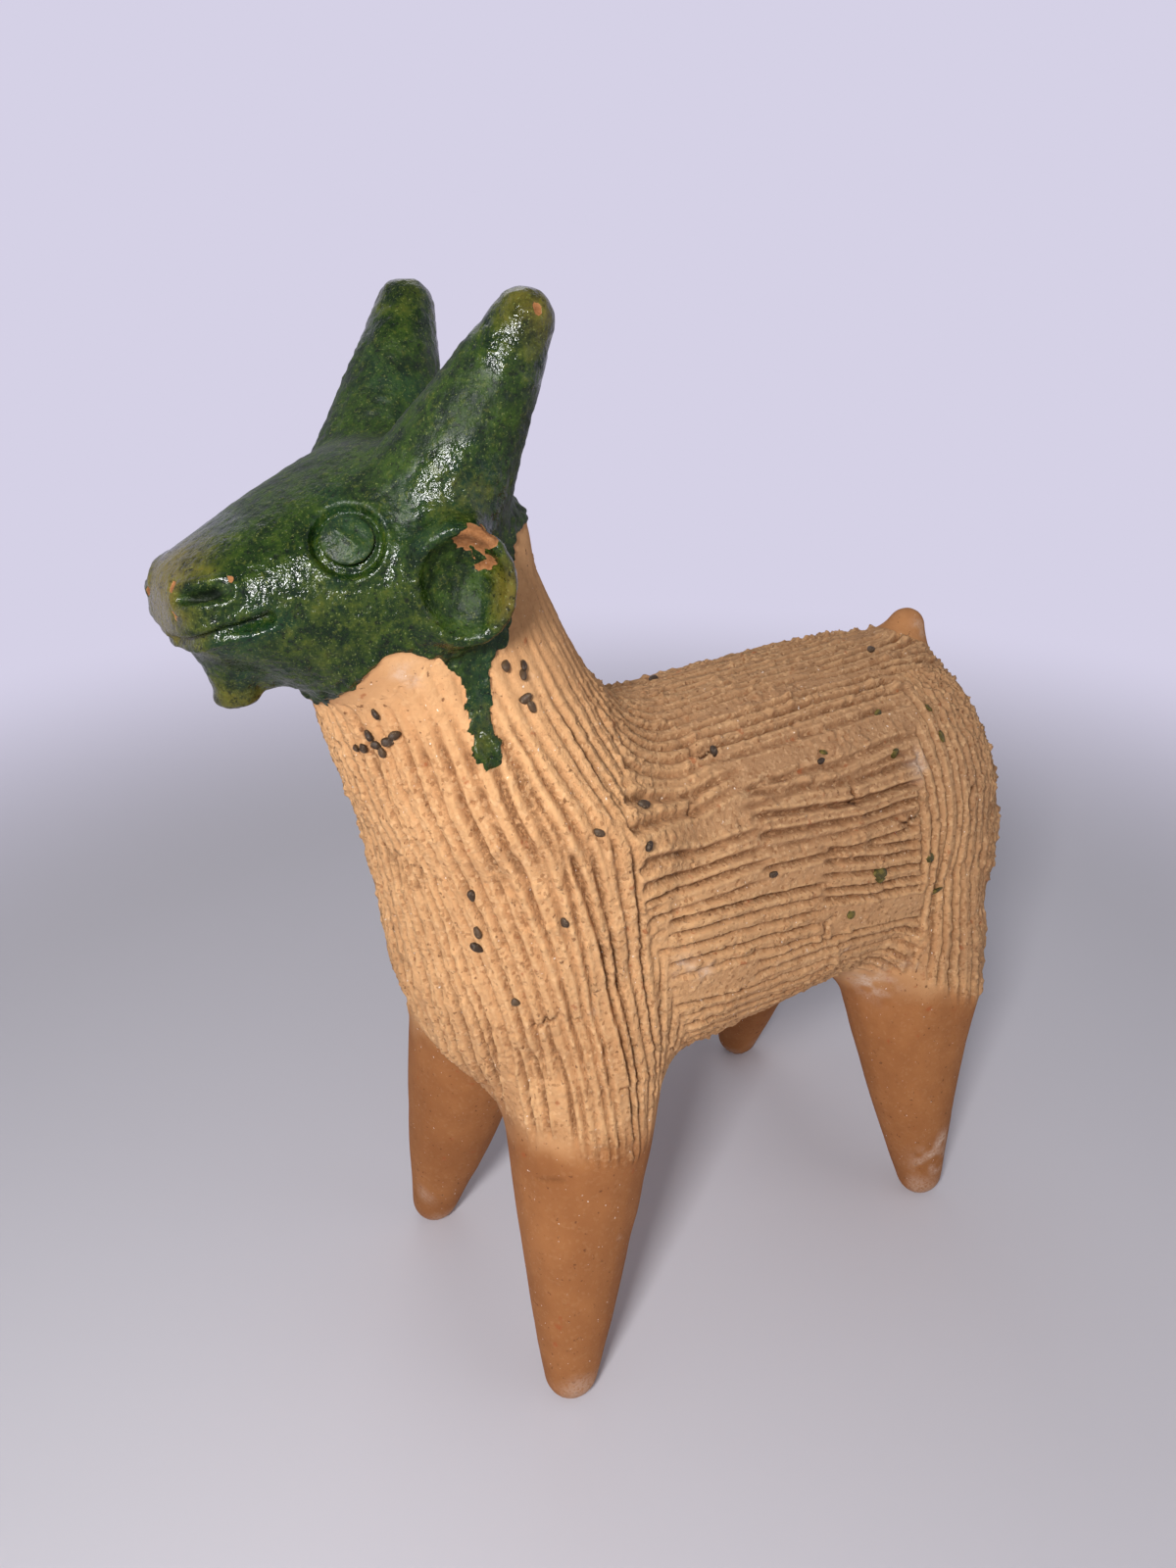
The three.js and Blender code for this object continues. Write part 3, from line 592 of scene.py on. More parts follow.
BARE_PLACES = [
    ((-61.8, -29.0, 201.6), 4.0), ((-60.0, -28.8, 198.2), 2.9), ((-46.2, -24.4, 235.0), 1.5),
    ((-103, -5.4, 196.4), 1.5), ((-102.4, -6.4, 192.2), 1.3), ((-97.6, -11.2, 198.2), 0.9),
    ((-95.6, -12.4, 197.2), 0.9), ((-101.5, -8.2, 197.4), 0.8), ((-46, 24, 236), 1.4),
    ((-75, 21, 183), 1.8), ((-60, 31, 200), 1.4), ((-102.5, 6.4, 193), 1.4)]


def gap_to(place):
    return np.linalg.norm(points - np.array(place), axis=1)


for place, size in BARE_PLACES:
    ragged = size - gap_to(place) + 1.1 * mottle(points, 1.7, 23) + 0.7 * mottle(points, 0.9, 36)
    bare = np.maximum(bare, ragged)
glazed = np.clip(0.5 + dipped, 0, 1) * (1 - rise(bare, 0.2, 1.1))
# It is thin, olive and ochre, over the muzzle, the rims and the tips.
THIN_PLACES = [
    ((-102, 0, 194), 11, 0.75), ((-93, 0, 174), 8, 0.5), ((-57, -31.5, 194), 6, 0.7),
    ((-57, 31.5, 194), 6, 0.7), ((-45, -24, 236), 9, 0.5), ((-45, 24, 236), 12, 0.35),
    ((-60, -24, 208), 7, 0.3), ((-84, -18, 188), 19, 0.2), ((-84, 18, 188), 19, 0.2),
    ((-70, -26, 192), 10, 0.2), ((-60, -27, 169), 7, 0.28)]
thin = np.zeros(len(points))
for place, size, amount in THIN_PLACES:
    thin = np.maximum(thin, amount * bell(gap_to(place), size))
crust = bell(dipped - 1.1, 1.5) * (0.4 + 1.1 * mottle(points, 1.2, 24))
relief = relief * (1 - 0.45 * glazed)
grainy = 0.07 + 0.22 * (1 - rise(dipped, 4, 14))
relief += of("beard") * rise(-z, -180, -173) * 1.1 * mottle(points, 2.6, 37)
thick = 0.36 + 0.45 * crust + 0.06 * mottle(points, 2.1, 25) + grainy * mottle(points, 1.1, 28)
relief += glazed * thick

# The body clay is pale where the coat dried first, and the legs and the tail fired a deeper orange.
# Lime has bloomed in a few chalky places and round the feet.
BLOOM = [
    ((-21.8, -38.2, 111.8), 2.6), ((-16.3, -38.1, 108.3), 1.8), ((51.9, -33.3, 135.4), 3.2),
    ((49.9, -28.8, 73.6), 5), ((82.2, -4.9, 155.5), 2), ((-70.7, -20.2, 179), 2.4),
    ((67, -44, 15), 5), ((69, -44, 21), 3), ((20, 38, 110), 3), ((-60, 28, 150), 2.5),
    ((90, 15, 130), 3)]
pale_ends = np.interp(x, [10, 40], [COAT_ENDS_FRONT + 3, 75]) - 0.5 * np.clip(x - 62, 0, 20)
pale = rise(z + 3 * mottle(points, 5, 31) + 5 * mottle(points, 12, 39) - pale_ends, -8, 6)
pale = pale * (1 - 0.75 * of("tail")) * (1 - 0.85 * rise(dipped, 0, 3))
# Painted shade over the coat behind the shoulders, strongest on the top of the back and on the
# rump, carried by pale from 1 to 2.
back_shade_painted = rise(x, -35, 5) * np.clip(0.25 + 0.75 * rise(z, 105, 140) + 0.6 * rise(x, 60, 80), 0, 1)
chalk = 0.5 * rise(mottle(points, 7, 32) - 0.06 * z, -0.7, 0.3)
for place, size in BLOOM:
    lime = bell(gap_to(place), size) * rise(mottle(points, 2.5, 33), -0.5, 0.4)
    chalk = np.maximum(chalk, lime)

facing = facing_of(skin)
points = points + facing * relief[:, None]
low, high = np.array(cad_box) / MM
points = np.clip(points, low, high)
points[points[:, 2] < 0.45, 2] = 0
set_points(skin, points)

# ----------------------------------------
# The pieces, parted again along the joints between the lumps. Barrel and neck are hollow: a wall
# of fired clay round the water, and a filler hole through the nape.
HEM = 1.6  # mm
MOST_FACES = 165000  # triangles on the outside of a piece, so that it stays handy
# The dark places carry crud and painted shade in the grooves, painted shade in the cracks and pits,
# and the darker clay of the bare patches under the glaze. The lips get a painted highlight through
# comb below 0.
dark_place = np.maximum.reduce(
    [np.clip(2.2 * scored - 0.5, 0, 1), 2 * torn, 0.5 * pits * coated, 0.8 * rise(bare, 0, 1)])
FOR_MATERIALS = {
    "comb": (dark_place - 0.9 * lip * (scored < 0.2)) * (1 - glazed),
    "glaze": glazed,
    # Thin below 0 is painted shade in the nostrils and the ears.
    "thin": np.clip(thin - 0.9 * inside, -0.5, 1),
    "coat": coated,
    # Pale above 1 is painted shade on the back and the rump.
    "pale": pale * (1 + back_shade_painted * coated),
    "chalk": chalk * (1 - glazed),
}


def stamp(thing, name, values):
    """A value for each point of a mesh, for its material to read."""
    written = thing.data.attributes.new(name, "FLOAT", "POINT")
    written.data.foreach_set("value", np.asarray(values, dtype=np.float32))


for name, values in FOR_MATERIALS.items():
    stamp(skin, name, values)
corner_start = values_of(skin.data.polygons, "loop_start", np.int64)
corners = values_of(skin.data.loops, "vertex_index", np.int64)
for name in NODES:
    skin.data.materials.append(bpy.data.materials.new("part_" + name))
skin.data.polygons.foreach_set("material_index", owner[corners[corner_start]])
# The open clay is all but the strips beside the joints, which have to meet point for point.
STRIP = 3  # edges wide
by_a_joint = np.zeros(len(points), dtype=bool)
by_a_joint[edges[owner[edges[:, 0]] != owner[edges[:, 1]]]] = True
for _ in range(STRIP):
    by_a_joint[edges[by_a_joint[edges].any(axis=1)]] = True
skin.vertex_groups.new(name="open_clay").add(np.flatnonzero(~by_a_joint).tolist(), 1.0, "REPLACE")
lie = skin.data.attributes.new("lie", "FLOAT_VECTOR", "POINT")
lie.data.foreach_set("vector", facing_of(skin).ravel().astype(np.float32))
edit(skin, bpy.ops.mesh.separate, type="MATERIAL")
PIECES = {}
for piece in list(bpy.context.selected_objects):
    name = piece.data.materials[piece.data.polygons[0].material_index].name.removeprefix("part_")
    PIECES[name] = piece
    piece.name = "shaped_" + name
    piece.data.name = piece.name

filler = peg(FILLER_RADIUS, FILLER_DEPTH, vertices=72)


def close_up(piece):
    """Turns the open edge of a piece down into the clay and closes it there, out of sight."""
    pick(piece)
    bpy.ops.object.mode_set(mode="EDIT")
    bpy.ops.mesh.select_mode(type="EDGE")
    bpy.ops.mesh.select_all(action="DESELECT")
    bpy.ops.mesh.select_non_manifold(
        extend=False, use_wire=False, use_boundary=True, use_multi_face=False,
        use_non_contiguous=False, use_verts=False)
    bpy.ops.mesh.extrude_edges_move()
    bpy.ops.object.mode_set(mode="OBJECT")
    turned_in = values_of(piece.data.vertices, "select", bool)
    lie = values_of(piece.data.attributes["lie"].data, "vector", np.float32, 3)
    spots = points_of(piece)
    spots[turned_in] -= HEM * lie[turned_in]
    set_points(piece, spots)
    edit(piece, bpy.ops.mesh.fill_holes, sides=0)
    work(piece, "TRIANGULATE", min_vertices=5)


def shade_smooth(mesh):
    mesh.polygons.foreach_set("use_smooth", np.ones(len(mesh.polygons), dtype=bool))


def settle(piece):
    """Smooth shading that runs on over the joints, as the wiped clay does."""
    mesh = piece.data
    own = facing_of(piece)
    stored = values_of(mesh.attributes["lie"].data, "vector", np.float32, 3)
    known = np.linalg.norm(stored, axis=1) > 0.9
    shade_smooth(mesh)
    mesh.normals_split_custom_set_from_vertices(np.where(known[:, None], stored, own).tolist())
    mesh.attributes.remove(mesh.attributes["lie"])


CUTS = {"trunk_vessel": [hollow], "neck_vessel": [hollow, filler]}
for name, piece in PIECES.items():
    close_up(piece)
    faces = len(piece.data.polygons) * 2
    if faces > MOST_FACES:
        work(piece, "DECIMATE", ratio=MOST_FACES / faces,
             vertex_group="open_clay", vertex_group_factor=100)
        set_points(piece, np.clip(points_of(piece), low, high))
    piece.vertex_groups.clear()
    for cutter in CUTS.get(name, []):
        work(piece, "BOOLEAN", object=cutter, operation="DIFFERENCE", solver="MANIFOLD")
    settle(piece)
    piece.data.materials.clear()
for tool in (hollow, filler):
    bpy.data.objects.remove(tool)

# ----------------------------------------
# The clay: a coarse buff terracotta fired to a warm orange, pale where the comb dried it, browner
# in the grooves with crud and painted shade, with painted shade in the cracks and pits, a painted
# highlight on the lips beside the grooves, painted shade over the back and the rump, dark specks,
# glints of mica and chalky bloom.


def tone(red, green, blue):
    """A colour as the eye sees it, from 0 to 255, in the renderer's own light values."""
    values = [c / 255 for c in (red, green, blue)]
    return [c / 12.92 if c <= 0.04045 else ((c + 0.055) / 1.055) ** 2.4 for c in values] + [1.0]


def place(tree, kind, feeds=(), **settings):
    """A new node. Feeds are the values or the outputs that go into its sockets."""
    made = tree.nodes.new("ShaderNode" + kind)
    for name, value in settings.items():
        setattr(made, name, value)
    for key, value in dict(feeds).items():
        socket = made.inputs[key]
        if isinstance(value, bpy.types.NodeSocket):
            tree.links.new(value, socket)
        else:
            socket.default_value = value
    return made


def speckle(where, size, detail=2.0, rough=0.5):
    """Soft noise with spots of about this size in mm."""
    feeds = {"Vector": where, "Scale": 1000 / size, "Detail": detail, "Roughness": rough}
    return place(where.id_data, "TexNoise", feeds).outputs["Fac"]


def between(value, low, high):
    feeds = {"Value": value, "From Min": low, "From Max": high}
    made = place(value.id_data, "MapRange", feeds, interpolation_type="SMOOTHSTEP")
    return made.outputs["Result"]


def times(a, b, operation="MULTIPLY"):
    return place(a.id_data, "Math", {0: a, 1: b}, operation=operation).outputs[0]


def blended(amount, a, b):
    return place(amount.id_data, "Mix", {0: amount, 6: a, 7: b}, data_type="RGBA").outputs[2]


def crossed_over(amount, a, b):
    """As blended, for plain values in place of colours."""
    return place(amount.id_data, "Mix", {0: amount, 2: a, 3: b}, data_type="FLOAT").outputs[0]


def layered(under, layers):
    """Colours laid over another, each where its mask is and up to its share."""
    for mask, share, color in layers:
        under = blended(times(mask, share), under, color)
    return under


def new_group(name, *takes):
    """A group of nodes that makes a colour, a roughness and a height from these values."""
    group = bpy.data.node_groups.new(name, "ShaderNodeTree")
    for key in takes:
        group.interface.new_socket(key, in_out="INPUT", socket_type="NodeSocketFloat")
    for key, kind in (("Color", "Color"), ("Roughness", "Float"), ("Height", "Float")):
        group.interface.new_socket(key, in_out="OUTPUT", socket_type="NodeSocket" + kind)
    put_in, put_out = (group.nodes.new("NodeGroup" + end) for end in ("Input", "Output"))
    return group, put_in.outputs, put_out.inputs


clay_group, takes, gives = new_group("fired_clay", "Comb", "Coat", "Pale", "Chalk")
tree = clay_group
where = place(tree, "TexCoord").outputs["Object"]
broad = speckle(where, 26, 3)
middling = speckle(where, 5, 3, 0.6)
fine = speckle(where, 0.8, 3, 0.75)
GRAIN = 0.7  # mm
grains = place(tree, "TexVoronoi", {"Vector": where, "Scale": 1000 / GRAIN, "Randomness": 1.0})
grains = grains.outputs["Color"]
light_side = blended(takes["Pale"], tone(170, 112, 66), tone(219, 168, 118))
dark_side = blended(takes["Pale"], tone(148, 93, 52), tone(194, 142, 96))
body = blended(between(broad, 0.35, 0.8), light_side, dark_side)
body = layered(body, [(between(middling, 0.35, 0.75), 0.45, dark_side)])
# Pale runs on from 1 to 2 over the back and the rump, where painted shade turns the clay a greyish
# brown.
feeds = {"Value": takes["Pale"], "From Min": 1.0, "From Max": 2.0, "To Max": 0.85}
back_shade_share = place(tree, "MapRange", feeds).outputs["Result"]
body = blended(back_shade_share, body, tone(170, 128, 92))
# Comb is 1 in the bottom of a groove, up to 2 in a crack, and below 0 on the lips beside a groove:
# crud and painted shade in the grooves, painted shade in the cracks and pits, and a painted
# highlight on the lips.
groove_dark = times(takes["Comb"], between(fine, 0.2, 0.6))
crest_highlight = between(takes["Comb"], -0.05, -0.45)
cracked = between(takes["Comb"], 1.0, 1.5)
speck = between(speckle(where, 1.4, 2, 0.6), 0.65, 0.74)
rusty = between(speckle(where, 3.1, 2), 0.68, 0.76)
sandy_share = times(times(takes["Coat"], 0.3), 0.06, "ADD")
pepper = times(between(grains, 0.3, 0.08), takes["Coat"])
cloud = between(speckle(where, 14, 4, 0.65), 0.66, 0.78)
bloom = times(times(cloud, 0.35), times(takes["Chalk"], 0.75), "MAXIMUM")
mica = between(speckle(where, 0.75, 1), 0.76, 0.8)
body = layered(body, [
    # Painted shade in the grooves, cracks and pits, and a painted highlight on the lips.
    (groove_dark, 0.8, tone(100, 60, 30)),
    (crest_highlight, 0.3, tone(240, 192, 138)),
    (cracked, 0.85, tone(58, 35, 20)),
    (speck, 0.75, tone(104, 62, 36)),
    (rusty, 0.6, tone(166, 86, 46)),
    (between(grains, 0.62, 0.95), sandy_share, tone(240, 198, 150)),
    (pepper, 0.5, tone(136, 84, 46)),
    (bloom, between(fine, 0.25, 0.6), tone(222, 198, 178)),
    (mica, 0.85, tone(250, 240, 226))])
tree.links.new(body, gives["Color"])
tree.links.new(times(times(mica, -0.45), 0.92, "ADD"), gives["Roughness"])
sandy = times(times(takes["Coat"], 0.95), 0.22, "ADD")
grain = times(times(grains, fine, "ADD"), sandy)
tree.links.new(times(times(middling, 0.45), grain, "ADD"), gives["Height"])

# The glaze runs from near black-green where it is thick to olive and ochre where it is thin over
# the rims, with blue-green breaks and a pitted, orange-peel shine.
glaze_group, takes, gives = new_group("green_glaze", "Thin")
tree = glaze_group
where = place(tree, "TexCoord").outputs["Object"]
clouds = speckle(where, 15, 4, 0.6)
patches = speckle(where, 3.4, 5, 0.75)
spots = speckle(where, 1.1, 3, 0.7)
dust = speckle(where, 0.45, 2, 0.8)
green = blended(between(patches, 0.35, 0.68), tone(12, 30, 8), tone(46, 68, 15))
ochre = times(takes["Thin"], times(patches, -0.5, "ADD"), "ADD")
# Below 0, Thin stands for painted shade in the nostril slits and the ear hollows.
deep = between(takes["Thin"], -0.05, -0.45)
green = layered(green, [
    (between(clouds, 0.5, 0.68), 0.5, tone(22, 54, 34)),
    (between(ochre, 0.1, 0.75), 0.8, tone(108, 94, 34)),
    (between(spots, 0.55, 0.74), 0.5, tone(92, 98, 34)),
    (between(spots, 0.47, 0.3), 0.8, tone(8, 16, 8)),
    (between(dust, 0.6, 0.72), 0.55, tone(128, 136, 74)),
    (deep, 0.85, tone(10, 18, 10))])
tree.links.new(green, gives["Color"])
feeds = {"Value": patches, "From Min": 0.3, "From Max": 0.7, "To Min": 0.1, "To Max": 0.24}
gloss = place(tree, "MapRange", feeds).outputs["Result"]
matt = times(between(takes["Thin"], 0.1, 0.02), 0.4)
tree.links.new(times(gloss, matt, "ADD"), gives["Roughness"])
peel = speckle(where, 2.2, 3, 0.6)
tree.links.new(times(peel, times(spots, 0.5), "ADD"), gives["Height"])


def read(tree, name):
    return place(tree, "Attribute", attribute_name=name).outputs["Fac"]


def new_material(name):
    material = bpy.data.materials.new(name)
    material.use_nodes = True
    tree = material.node_tree
    return material, tree, tree.nodes["Principled BSDF"].inputs


def finish_in(name, dipped=False):
    """The clay, and over it the glaze where the piece was dipped."""
    material, tree, shader = new_material(name)
    clay = place(tree, "Group", node_tree=clay_group)
    for key in ("Comb", "Coat", "Pale", "Chalk"):
        tree.links.new(read(tree, key.lower()), clay.inputs[key])
    color, rough = clay.outputs["Color"], clay.outputs["Roughness"]
    shader["Specular IOR Level"].default_value = 0.27
    height = times(clay.outputs["Height"], 0.6)
    if dipped:
        glaze = place(tree, "Group", node_tree=glaze_group)
        tree.links.new(read(tree, "thin"), glaze.inputs["Thin"])
        mask = between(read(tree, "glaze"), 0.42, 0.58)
        color = blended(mask, color, glaze.outputs["Color"])
        rough = crossed_over(mask, rough, glaze.outputs["Roughness"])
        height = crossed_over(mask, height, times(glaze.outputs["Height"], 0.5))
    bump = place(tree, "Bump", {"Height": height, "Distance": 0.0007, "Strength": 0.8})
    tree.links.new(color, shader["Base Color"])
    tree.links.new(rough, shader["Roughness"])
    tree.links.new(bump.outputs["Normal"], shader["Normal"])
    return material


bare_clay = finish_in("bare_clay")
dipped_clay = finish_in("dipped_clay", dipped=True)
for name, piece in PIECES.items():
    glazed_all_over = name in DIPPED
    any_glaze = glazed_all_over or name == "neck_vessel"
    piece.data.materials.append(dipped_clay if any_glaze else bare_clay)
    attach(piece, "root")
    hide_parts(name)

# ----------------------------------------
# The eyes: a flat pellet of clay pressed into each ring, with a pinched ridge across it, glazed
# over with the head.
PELLET_RADIUS = 4.25  # mm
PELLET_THICK = 0.75
RIDGE_HIGH, RIDGE_WIDE = 0.6, 0.75
for side, sign in SIDES.items():
    middle, way = seat_of(side)
    bpy.ops.mesh.primitive_uv_sphere_add(segments=48, ring_count=28, radius=1)
    pellet = bpy.context.object
    pellet.name = side + "_eye_pellet"
    spots = points_of(pellet) * MM
    radius = np.hypot(spots[:, 0], spots[:, 1])
    dome = np.sign(spots[:, 2]) * np.abs(spots[:, 2]) ** 0.7
    shape = np.column_stack([
        spots[:, 0] * PELLET_RADIUS, spots[:, 1] * PELLET_RADIUS * 0.94, dome * PELLET_THICK])
    from_ridge = shape[:, 0] * 0.64 + shape[:, 1] * 0.77
    ridge = bell(from_ridge, RIDGE_WIDE) * (1 - rise(radius, 0.5, 0.9))
    pinched = RIDGE_HIGH * ridge + 0.16 * mottle(shape + 40, 1.4, 30 + sign)
    shape[:, 2] += (spots[:, 2] > 0) * pinched
    across = np.cross([0, 0, 1], way)
    across /= np.linalg.norm(across)
    level = np.cross(way, across)
    shape = middle - 0.35 * way + shape @ np.array([across * sign, level, way])
    set_points(pellet, shape)
    if sign < 0:
        pellet.data.flip_normals()
    shade_smooth(pellet.data)
    stamp(pellet, "glaze", np.full(len(shape), 1.0))
    stamp(pellet, "thin", np.full(len(shape), 0.05))
    pellet.data.materials.append(dipped_clay)
    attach(pellet, "root")
    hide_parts(side + "_eye")

# ----------------------------------------
# Dry seeds left in the combing from the last sowing, each about 2 mm long, dark brown and
# speckled, and small splashes of glaze on the flank.
SEED_PLACES = [
    (-73.7, -14.9, 172.0), (-72.2, -16.6, 167.5), (-74.6, -11.3, 164.0), (-72.9, -14.8, 164.3),
    (-75.3, -8.7, 163.3), (-74.5, -12.8, 167.1), (-73.4, -15.0, 165.9), (-74.0, -13.2, 165.0),
    (-54.2, -24.0, 178.5), (-50.4, -23.9, 177.6), (-51.1, -24.4, 176.1), (-50.7, -25.4, 172.4),
    (-50.3, -26.0, 170.6), (-62.6, -23.5, 135.6), (-61.1, -23.9, 127.2), (-61.4, -22.6, 123.3),
    (-49.3, -35.5, 131.0), (-33.2, -38.6, 143.4), (-2.1, -20.8, 148.2), (2.2, -36.9, 124.5),
    (22.7, -28.5, 142.2), (62.2, -6.1, 153.2), (-56.1, -28.0, 111.8), (-43.2, -37.4, 148.4),
    (-29.1, -31.7, 147.9), (-70, 16, 158), (-66, 21, 150), (-52, 31, 140), (-20, 37, 120),
    (15, 38, 118), (34, 30, 141), (52, 36, 108), (70, 30, 128), (96, 8, 120), (92, -12, 105),
    (8, 12, 152), (-38, 38, 128)]
SPLASH_PLACES = [
    ((35.9, -38.2, 113.8), 2.1), ((53.7, -38.3, 112.5), 1.5), ((58.5, -37.6, 101.6), 1.8),
    ((61.3, -37.8, 99.0), 1.2), ((62.2, -30.8, 139.4), 1.8), ((61.9, -25.9, 144.8), 1.4),
    ((44.9, -30.9, 139.3), 1.3), ((45.7, -24.3, 146.1), 1.2), ((27.3, -38.0, 106.3), 1.3),
    ((24.8, -27.5, 143.2), 1.0), ((30, 37, 122), 1.5), ((66, 35, 110), 1.8),
    ((88, 20, 135), 1.4)]
SEED_LONG, SEED_WIDE = 2.5, 1.65  # mm
ground = [BVHTree.FromObject(PIECES[name], bpy.context.evaluated_depsgraph_get())
          for name in ("neck_vessel", "trunk_vessel", "front_left_leg")]


def seat_on_coat(spot, across):
    """Where something this wide comes to rest on the ridges, and the way that it faces."""
    found = [tree.find_nearest(Vector(spot) * MM) for tree in ground]
    nearest = min(range(len(ground)), key=lambda k: found[k][3])
    place = found[nearest][0]
    _, way, _, _ = cad_tree.find_nearest(place)
    sides = (way.orthogonal().normalized(), way.cross(way.orthogonal().normalized()))
    rests = []
    for k in range(7):
        turn = 2 * math.pi * k / 6
        step = (sides[0] * math.cos(turn) + sides[1] * math.sin(turn)) * across * 0.3 * MM * (k < 6)
        hit = ground[nearest].ray_cast(place + step + way * 4 * MM, -way, 8 * MM)[0]
        if hit is not None:
            rests.append((hit - place).dot(way))
    rest = (sum(rests) / len(rests) + max(rests)) / 2 if rests else 0
    return (place + way * rest) / MM, way


def scattered(name, spots, sizes, flat, sunk, seed):
    """Small rounded grains, each lying on the coat at its own turn, in one mesh."""
    turns = np.random.default_rng(seed)
    bpy.ops.mesh.primitive_uv_sphere_add(segments=16, ring_count=10, radius=1)
    grain = bpy.context.object
    unit = points_of(grain) * MM
    faces = [tuple(face.vertices) for face in grain.data.polygons]
    bpy.data.objects.remove(grain)
    all_points, all_faces, shade = [], [], []
    for spot, (long, wide) in zip(spots, sizes):
        place, way = seat_on_coat(spot, wide)
        turn = Matrix.Rotation(turns.uniform(0, math.pi), 3, way)
        along = turn @ way.orthogonal().normalized()
        side = way.cross(along)
        lumpy = unit * (1 + 0.16 * mottle(unit + turns.uniform(0, 50), 0.8, seed)[:, None])
        taper = 1 - 0.18 * lumpy[:, :1]
        shaped = lumpy * np.array([long / 2, wide / 2, wide * flat / 2])
        shaped = shaped * np.hstack([np.ones_like(taper), taper, taper])
        start = len(all_points)
        middle = np.array(place) + np.array(way) * (wide * flat / 2 - sunk)
        all_points += list((middle + shaped @ np.array([along, side, way])) * MM)
        all_faces += [tuple(start + i for i in face) for face in faces]
        shade += [turns.uniform()] * len(unit)
    mesh = bpy.data.meshes.new(name)
    mesh.from_pydata(np.clip(all_points, *np.array(cad_box)).tolist(), [], all_faces)
    made = stand(bpy.data.objects.new(name, mesh))
    shade_smooth(mesh)
    stamp(made, "shade", shade)
    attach(made, "root")
    return made


grown = np.random.default_rng(3).uniform(0.85, 1.15, len(SEED_PLACES))
sizes = [(SEED_LONG * f, SEED_WIDE * f) for f in grown]
seeds = scattered("chia_seeds", SEED_PLACES, sizes, 0.75, 0.2, 41)
splashes = scattered("glaze_splashes", [p for p, _ in SPLASH_PLACES],
                     [(size * 2.0, size * 1.8) for _, size in SPLASH_PLACES], 0.28, 0.35, 42)

# Two plain finishes, each in a dark and a light tone. The seeds differ in their dark tone.
FINISHES = [
    # name, piece, size of the spots in mm, detail, span of the light, light, rough, bump in m
    ("seed_husk", seeds, 0.55, 2, (0.52, 0.78), (122, 104, 82), 0.55, 0.0002),
    ("olive_splash", splashes, 1.2, 3, (0.4, 0.65), (112, 98, 36), 0.5, 0.0003)]
for name, piece, size, detail, span, light, rough, depth in FINISHES:
    material, tree, shader = new_material(name)
    spotted = speckle(place(tree, "TexCoord").outputs["Object"], size, detail, 0.6)
    dark = tone(62, 54, 14)
    if piece == seeds:
        dark = blended(read(tree, "shade"), tone(46, 32, 20), tone(86, 66, 46))
    color = blended(between(spotted, *span), dark, tone(*light))
    bump = place(tree, "Bump", {"Height": spotted, "Distance": depth, "Strength": 0.6})
    tree.links.new(color, shader["Base Color"])
    tree.links.new(bump.outputs["Normal"], shader["Normal"])
    shader["Roughness"].default_value = rough
    shader["Specular IOR Level"].default_value = 0.35
    piece.data.materials.append(material)

# ----------------------------------------
# The floor and the backdrop: one pale sweep all round, lit by a soft box from the front left, a
# weaker one from the right and a dim sky.
CAMERA_PLACE = (-150.79, -184.77, 244.70)
CAMERA_YAW, CAMERA_DIP = 35.49, 25.38
LENS = 26.257
# The sweep from its middle outwards, in metres: the radius, then the height.
PROFILE = [
    (0, 0), (0.7, 0), (0.95, 0.012), (1.15, 0.08), (1.3, 0.22), (1.38, 0.45), (1.42, 0.8),
    (1.44, 1.4)]
ROUND = 96
sweep_points, sweep_faces = [(0, 0, 0)], []
for radius, height in PROFILE[1:]:
    for k in range(ROUND):
        angle = 2 * math.pi * k / ROUND
        sweep_points.append((radius * math.cos(angle), radius * math.sin(angle), height))
for k in range(ROUND):
    sweep_faces.append((0, 1 + k, 1 + (k + 1) % ROUND))
for r in range(len(PROFILE) - 2):
    for k in range(ROUND):
        a = 1 + r * ROUND + k
        b = 1 + r * ROUND + (k + 1) % ROUND
        sweep_faces.append((a, a + ROUND, b + ROUND, b))
sweep_mesh = bpy.data.meshes.new("sweep")
sweep_mesh.from_pydata(sweep_points, [], sweep_faces)
sweep = stand(bpy.data.objects.new("sweep", sweep_mesh))
shade_smooth(sweep_mesh)
paper, tree, shader = new_material("pale_paper")
shader["Base Color"].default_value = tone(205, 202, 209)
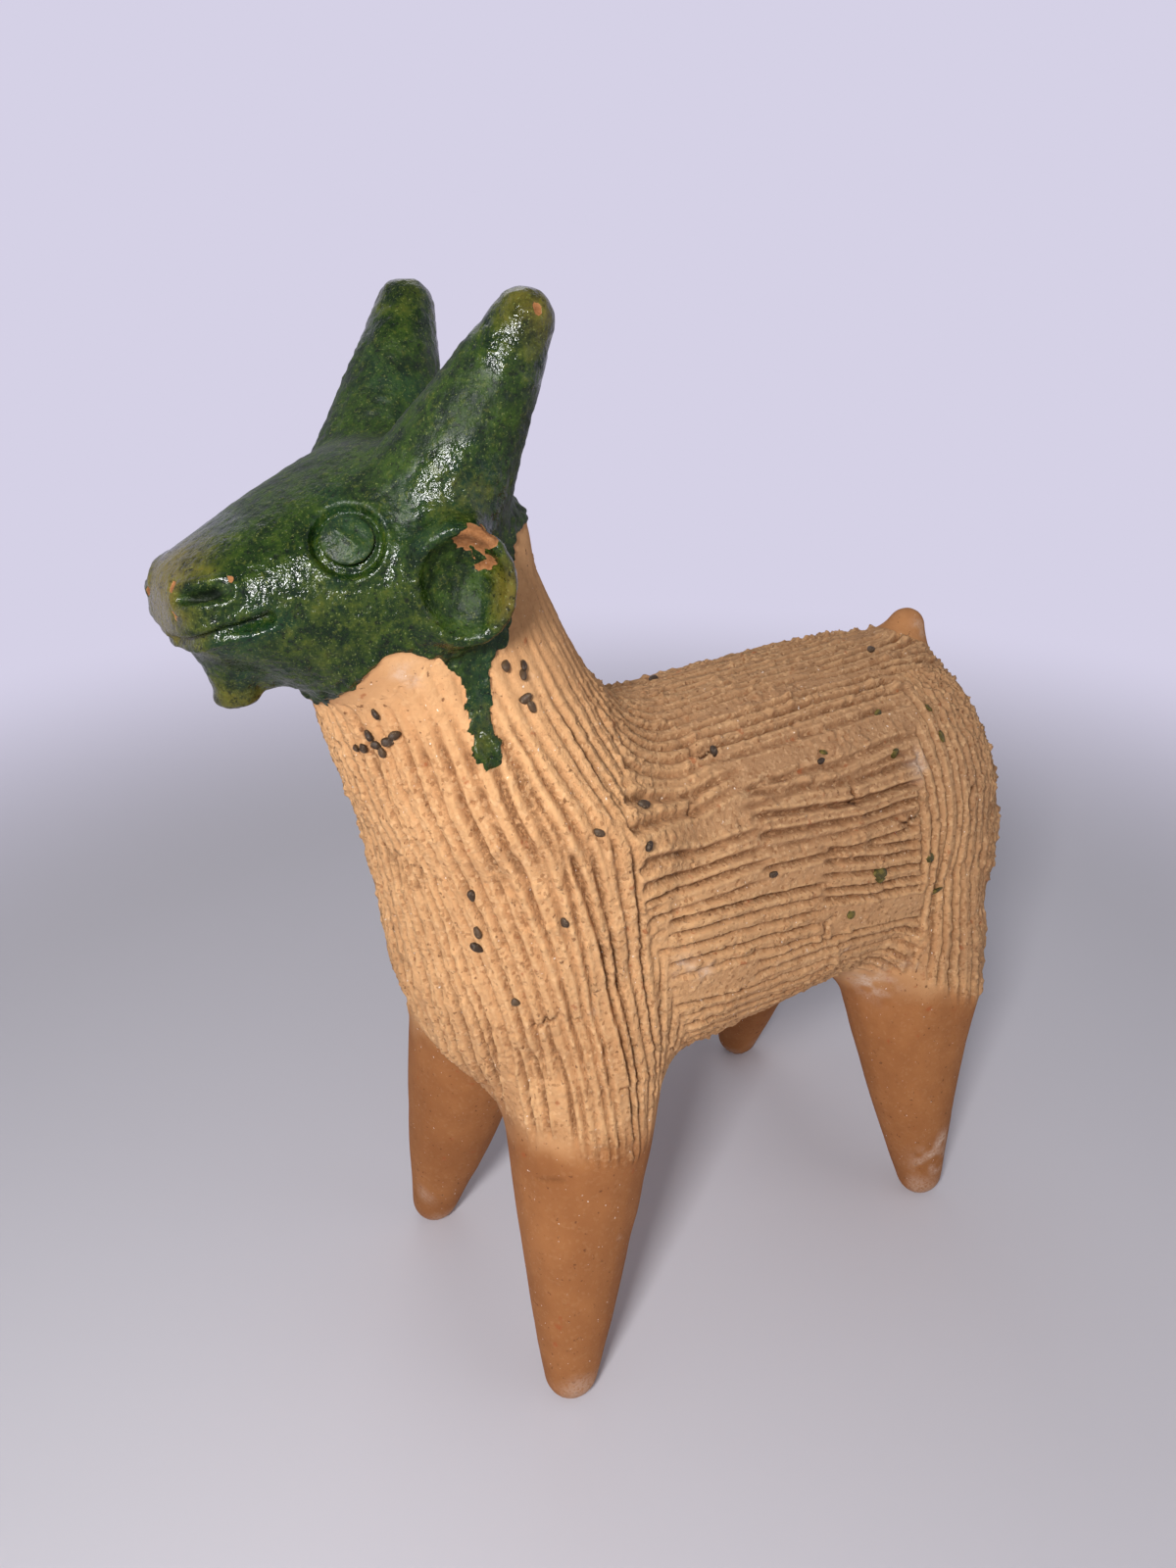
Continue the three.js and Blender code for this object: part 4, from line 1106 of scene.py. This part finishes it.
shader["Roughness"].default_value = 0.9
far_wall = place(tree, "Emission", {"Color": tone(213, 209, 230)})
rays = place(tree, "LightPath").outputs
seen = times(rays["Is Camera Ray"], rays["Is Glossy Ray"], "MAXIMUM")
seen = times(seen, rays["Is Transmission Ray"], "MAXIMUM")
where = place(tree, "TexCoord").outputs["Object"]
from_middle = place(tree, "VectorMath", {0: where}, operation="LENGTH").outputs["Value"]
wall_share = times(seen, between(from_middle, 0.24, 0.6))
feeds = {0: wall_share, 1: tree.nodes["Principled BSDF"].outputs[0], 2: far_wall.outputs[0]}
sweep_mix = place(tree, "MixShader", feeds)
tree.links.new(sweep_mix.outputs[0], tree.nodes["Material Output"].inputs["Surface"])
sweep_mesh.materials.append(paper)


def soft_box(name, place_at, aim, size, power):
    lamp = bpy.data.lights.new(name, "AREA")
    lamp.size, lamp.energy = size, power
    box = stand(bpy.data.objects.new(name, lamp))
    box.location = place_at
    box.rotation_euler = (Vector(aim) - Vector(place_at)).to_track_quat("-Z", "Y").to_euler()


soft_box("key_box", (-0.29, -0.24, 0.34), (-0.03, 0, 0.13), 0.07, 1.75)
soft_box("fill_box", (0.55, -0.75, 0.35), (0, 0, 0.1), 0.6, 0.7)
soft_box("back_box", (0.3, 0.8, 0.9), (0, 0, 0.1), 0.6, 1.4)
world = bpy.data.worlds.new("dim_sky")
bpy.context.scene.world = world
world.use_nodes = True
sky = world.node_tree.nodes["Background"]
sky.inputs["Color"].default_value = (0.93, 0.95, 1.0, 1)
sky.inputs["Strength"].default_value = 0.4

yaw, dip = math.radians(CAMERA_YAW), math.radians(CAMERA_DIP)
forward = Vector((math.sin(yaw) * math.cos(dip), math.cos(yaw) * math.cos(dip), -math.sin(dip)))
lens = bpy.data.cameras.new("camera")
lens.lens = LENS
lens.clip_start = 0.01
camera = stand(bpy.data.objects.new("camera", lens))
camera.location = Vector(CAMERA_PLACE) * MM
camera.rotation_euler = forward.to_track_quat("-Z", "Y").to_euler()
bpy.context.scene.camera = camera
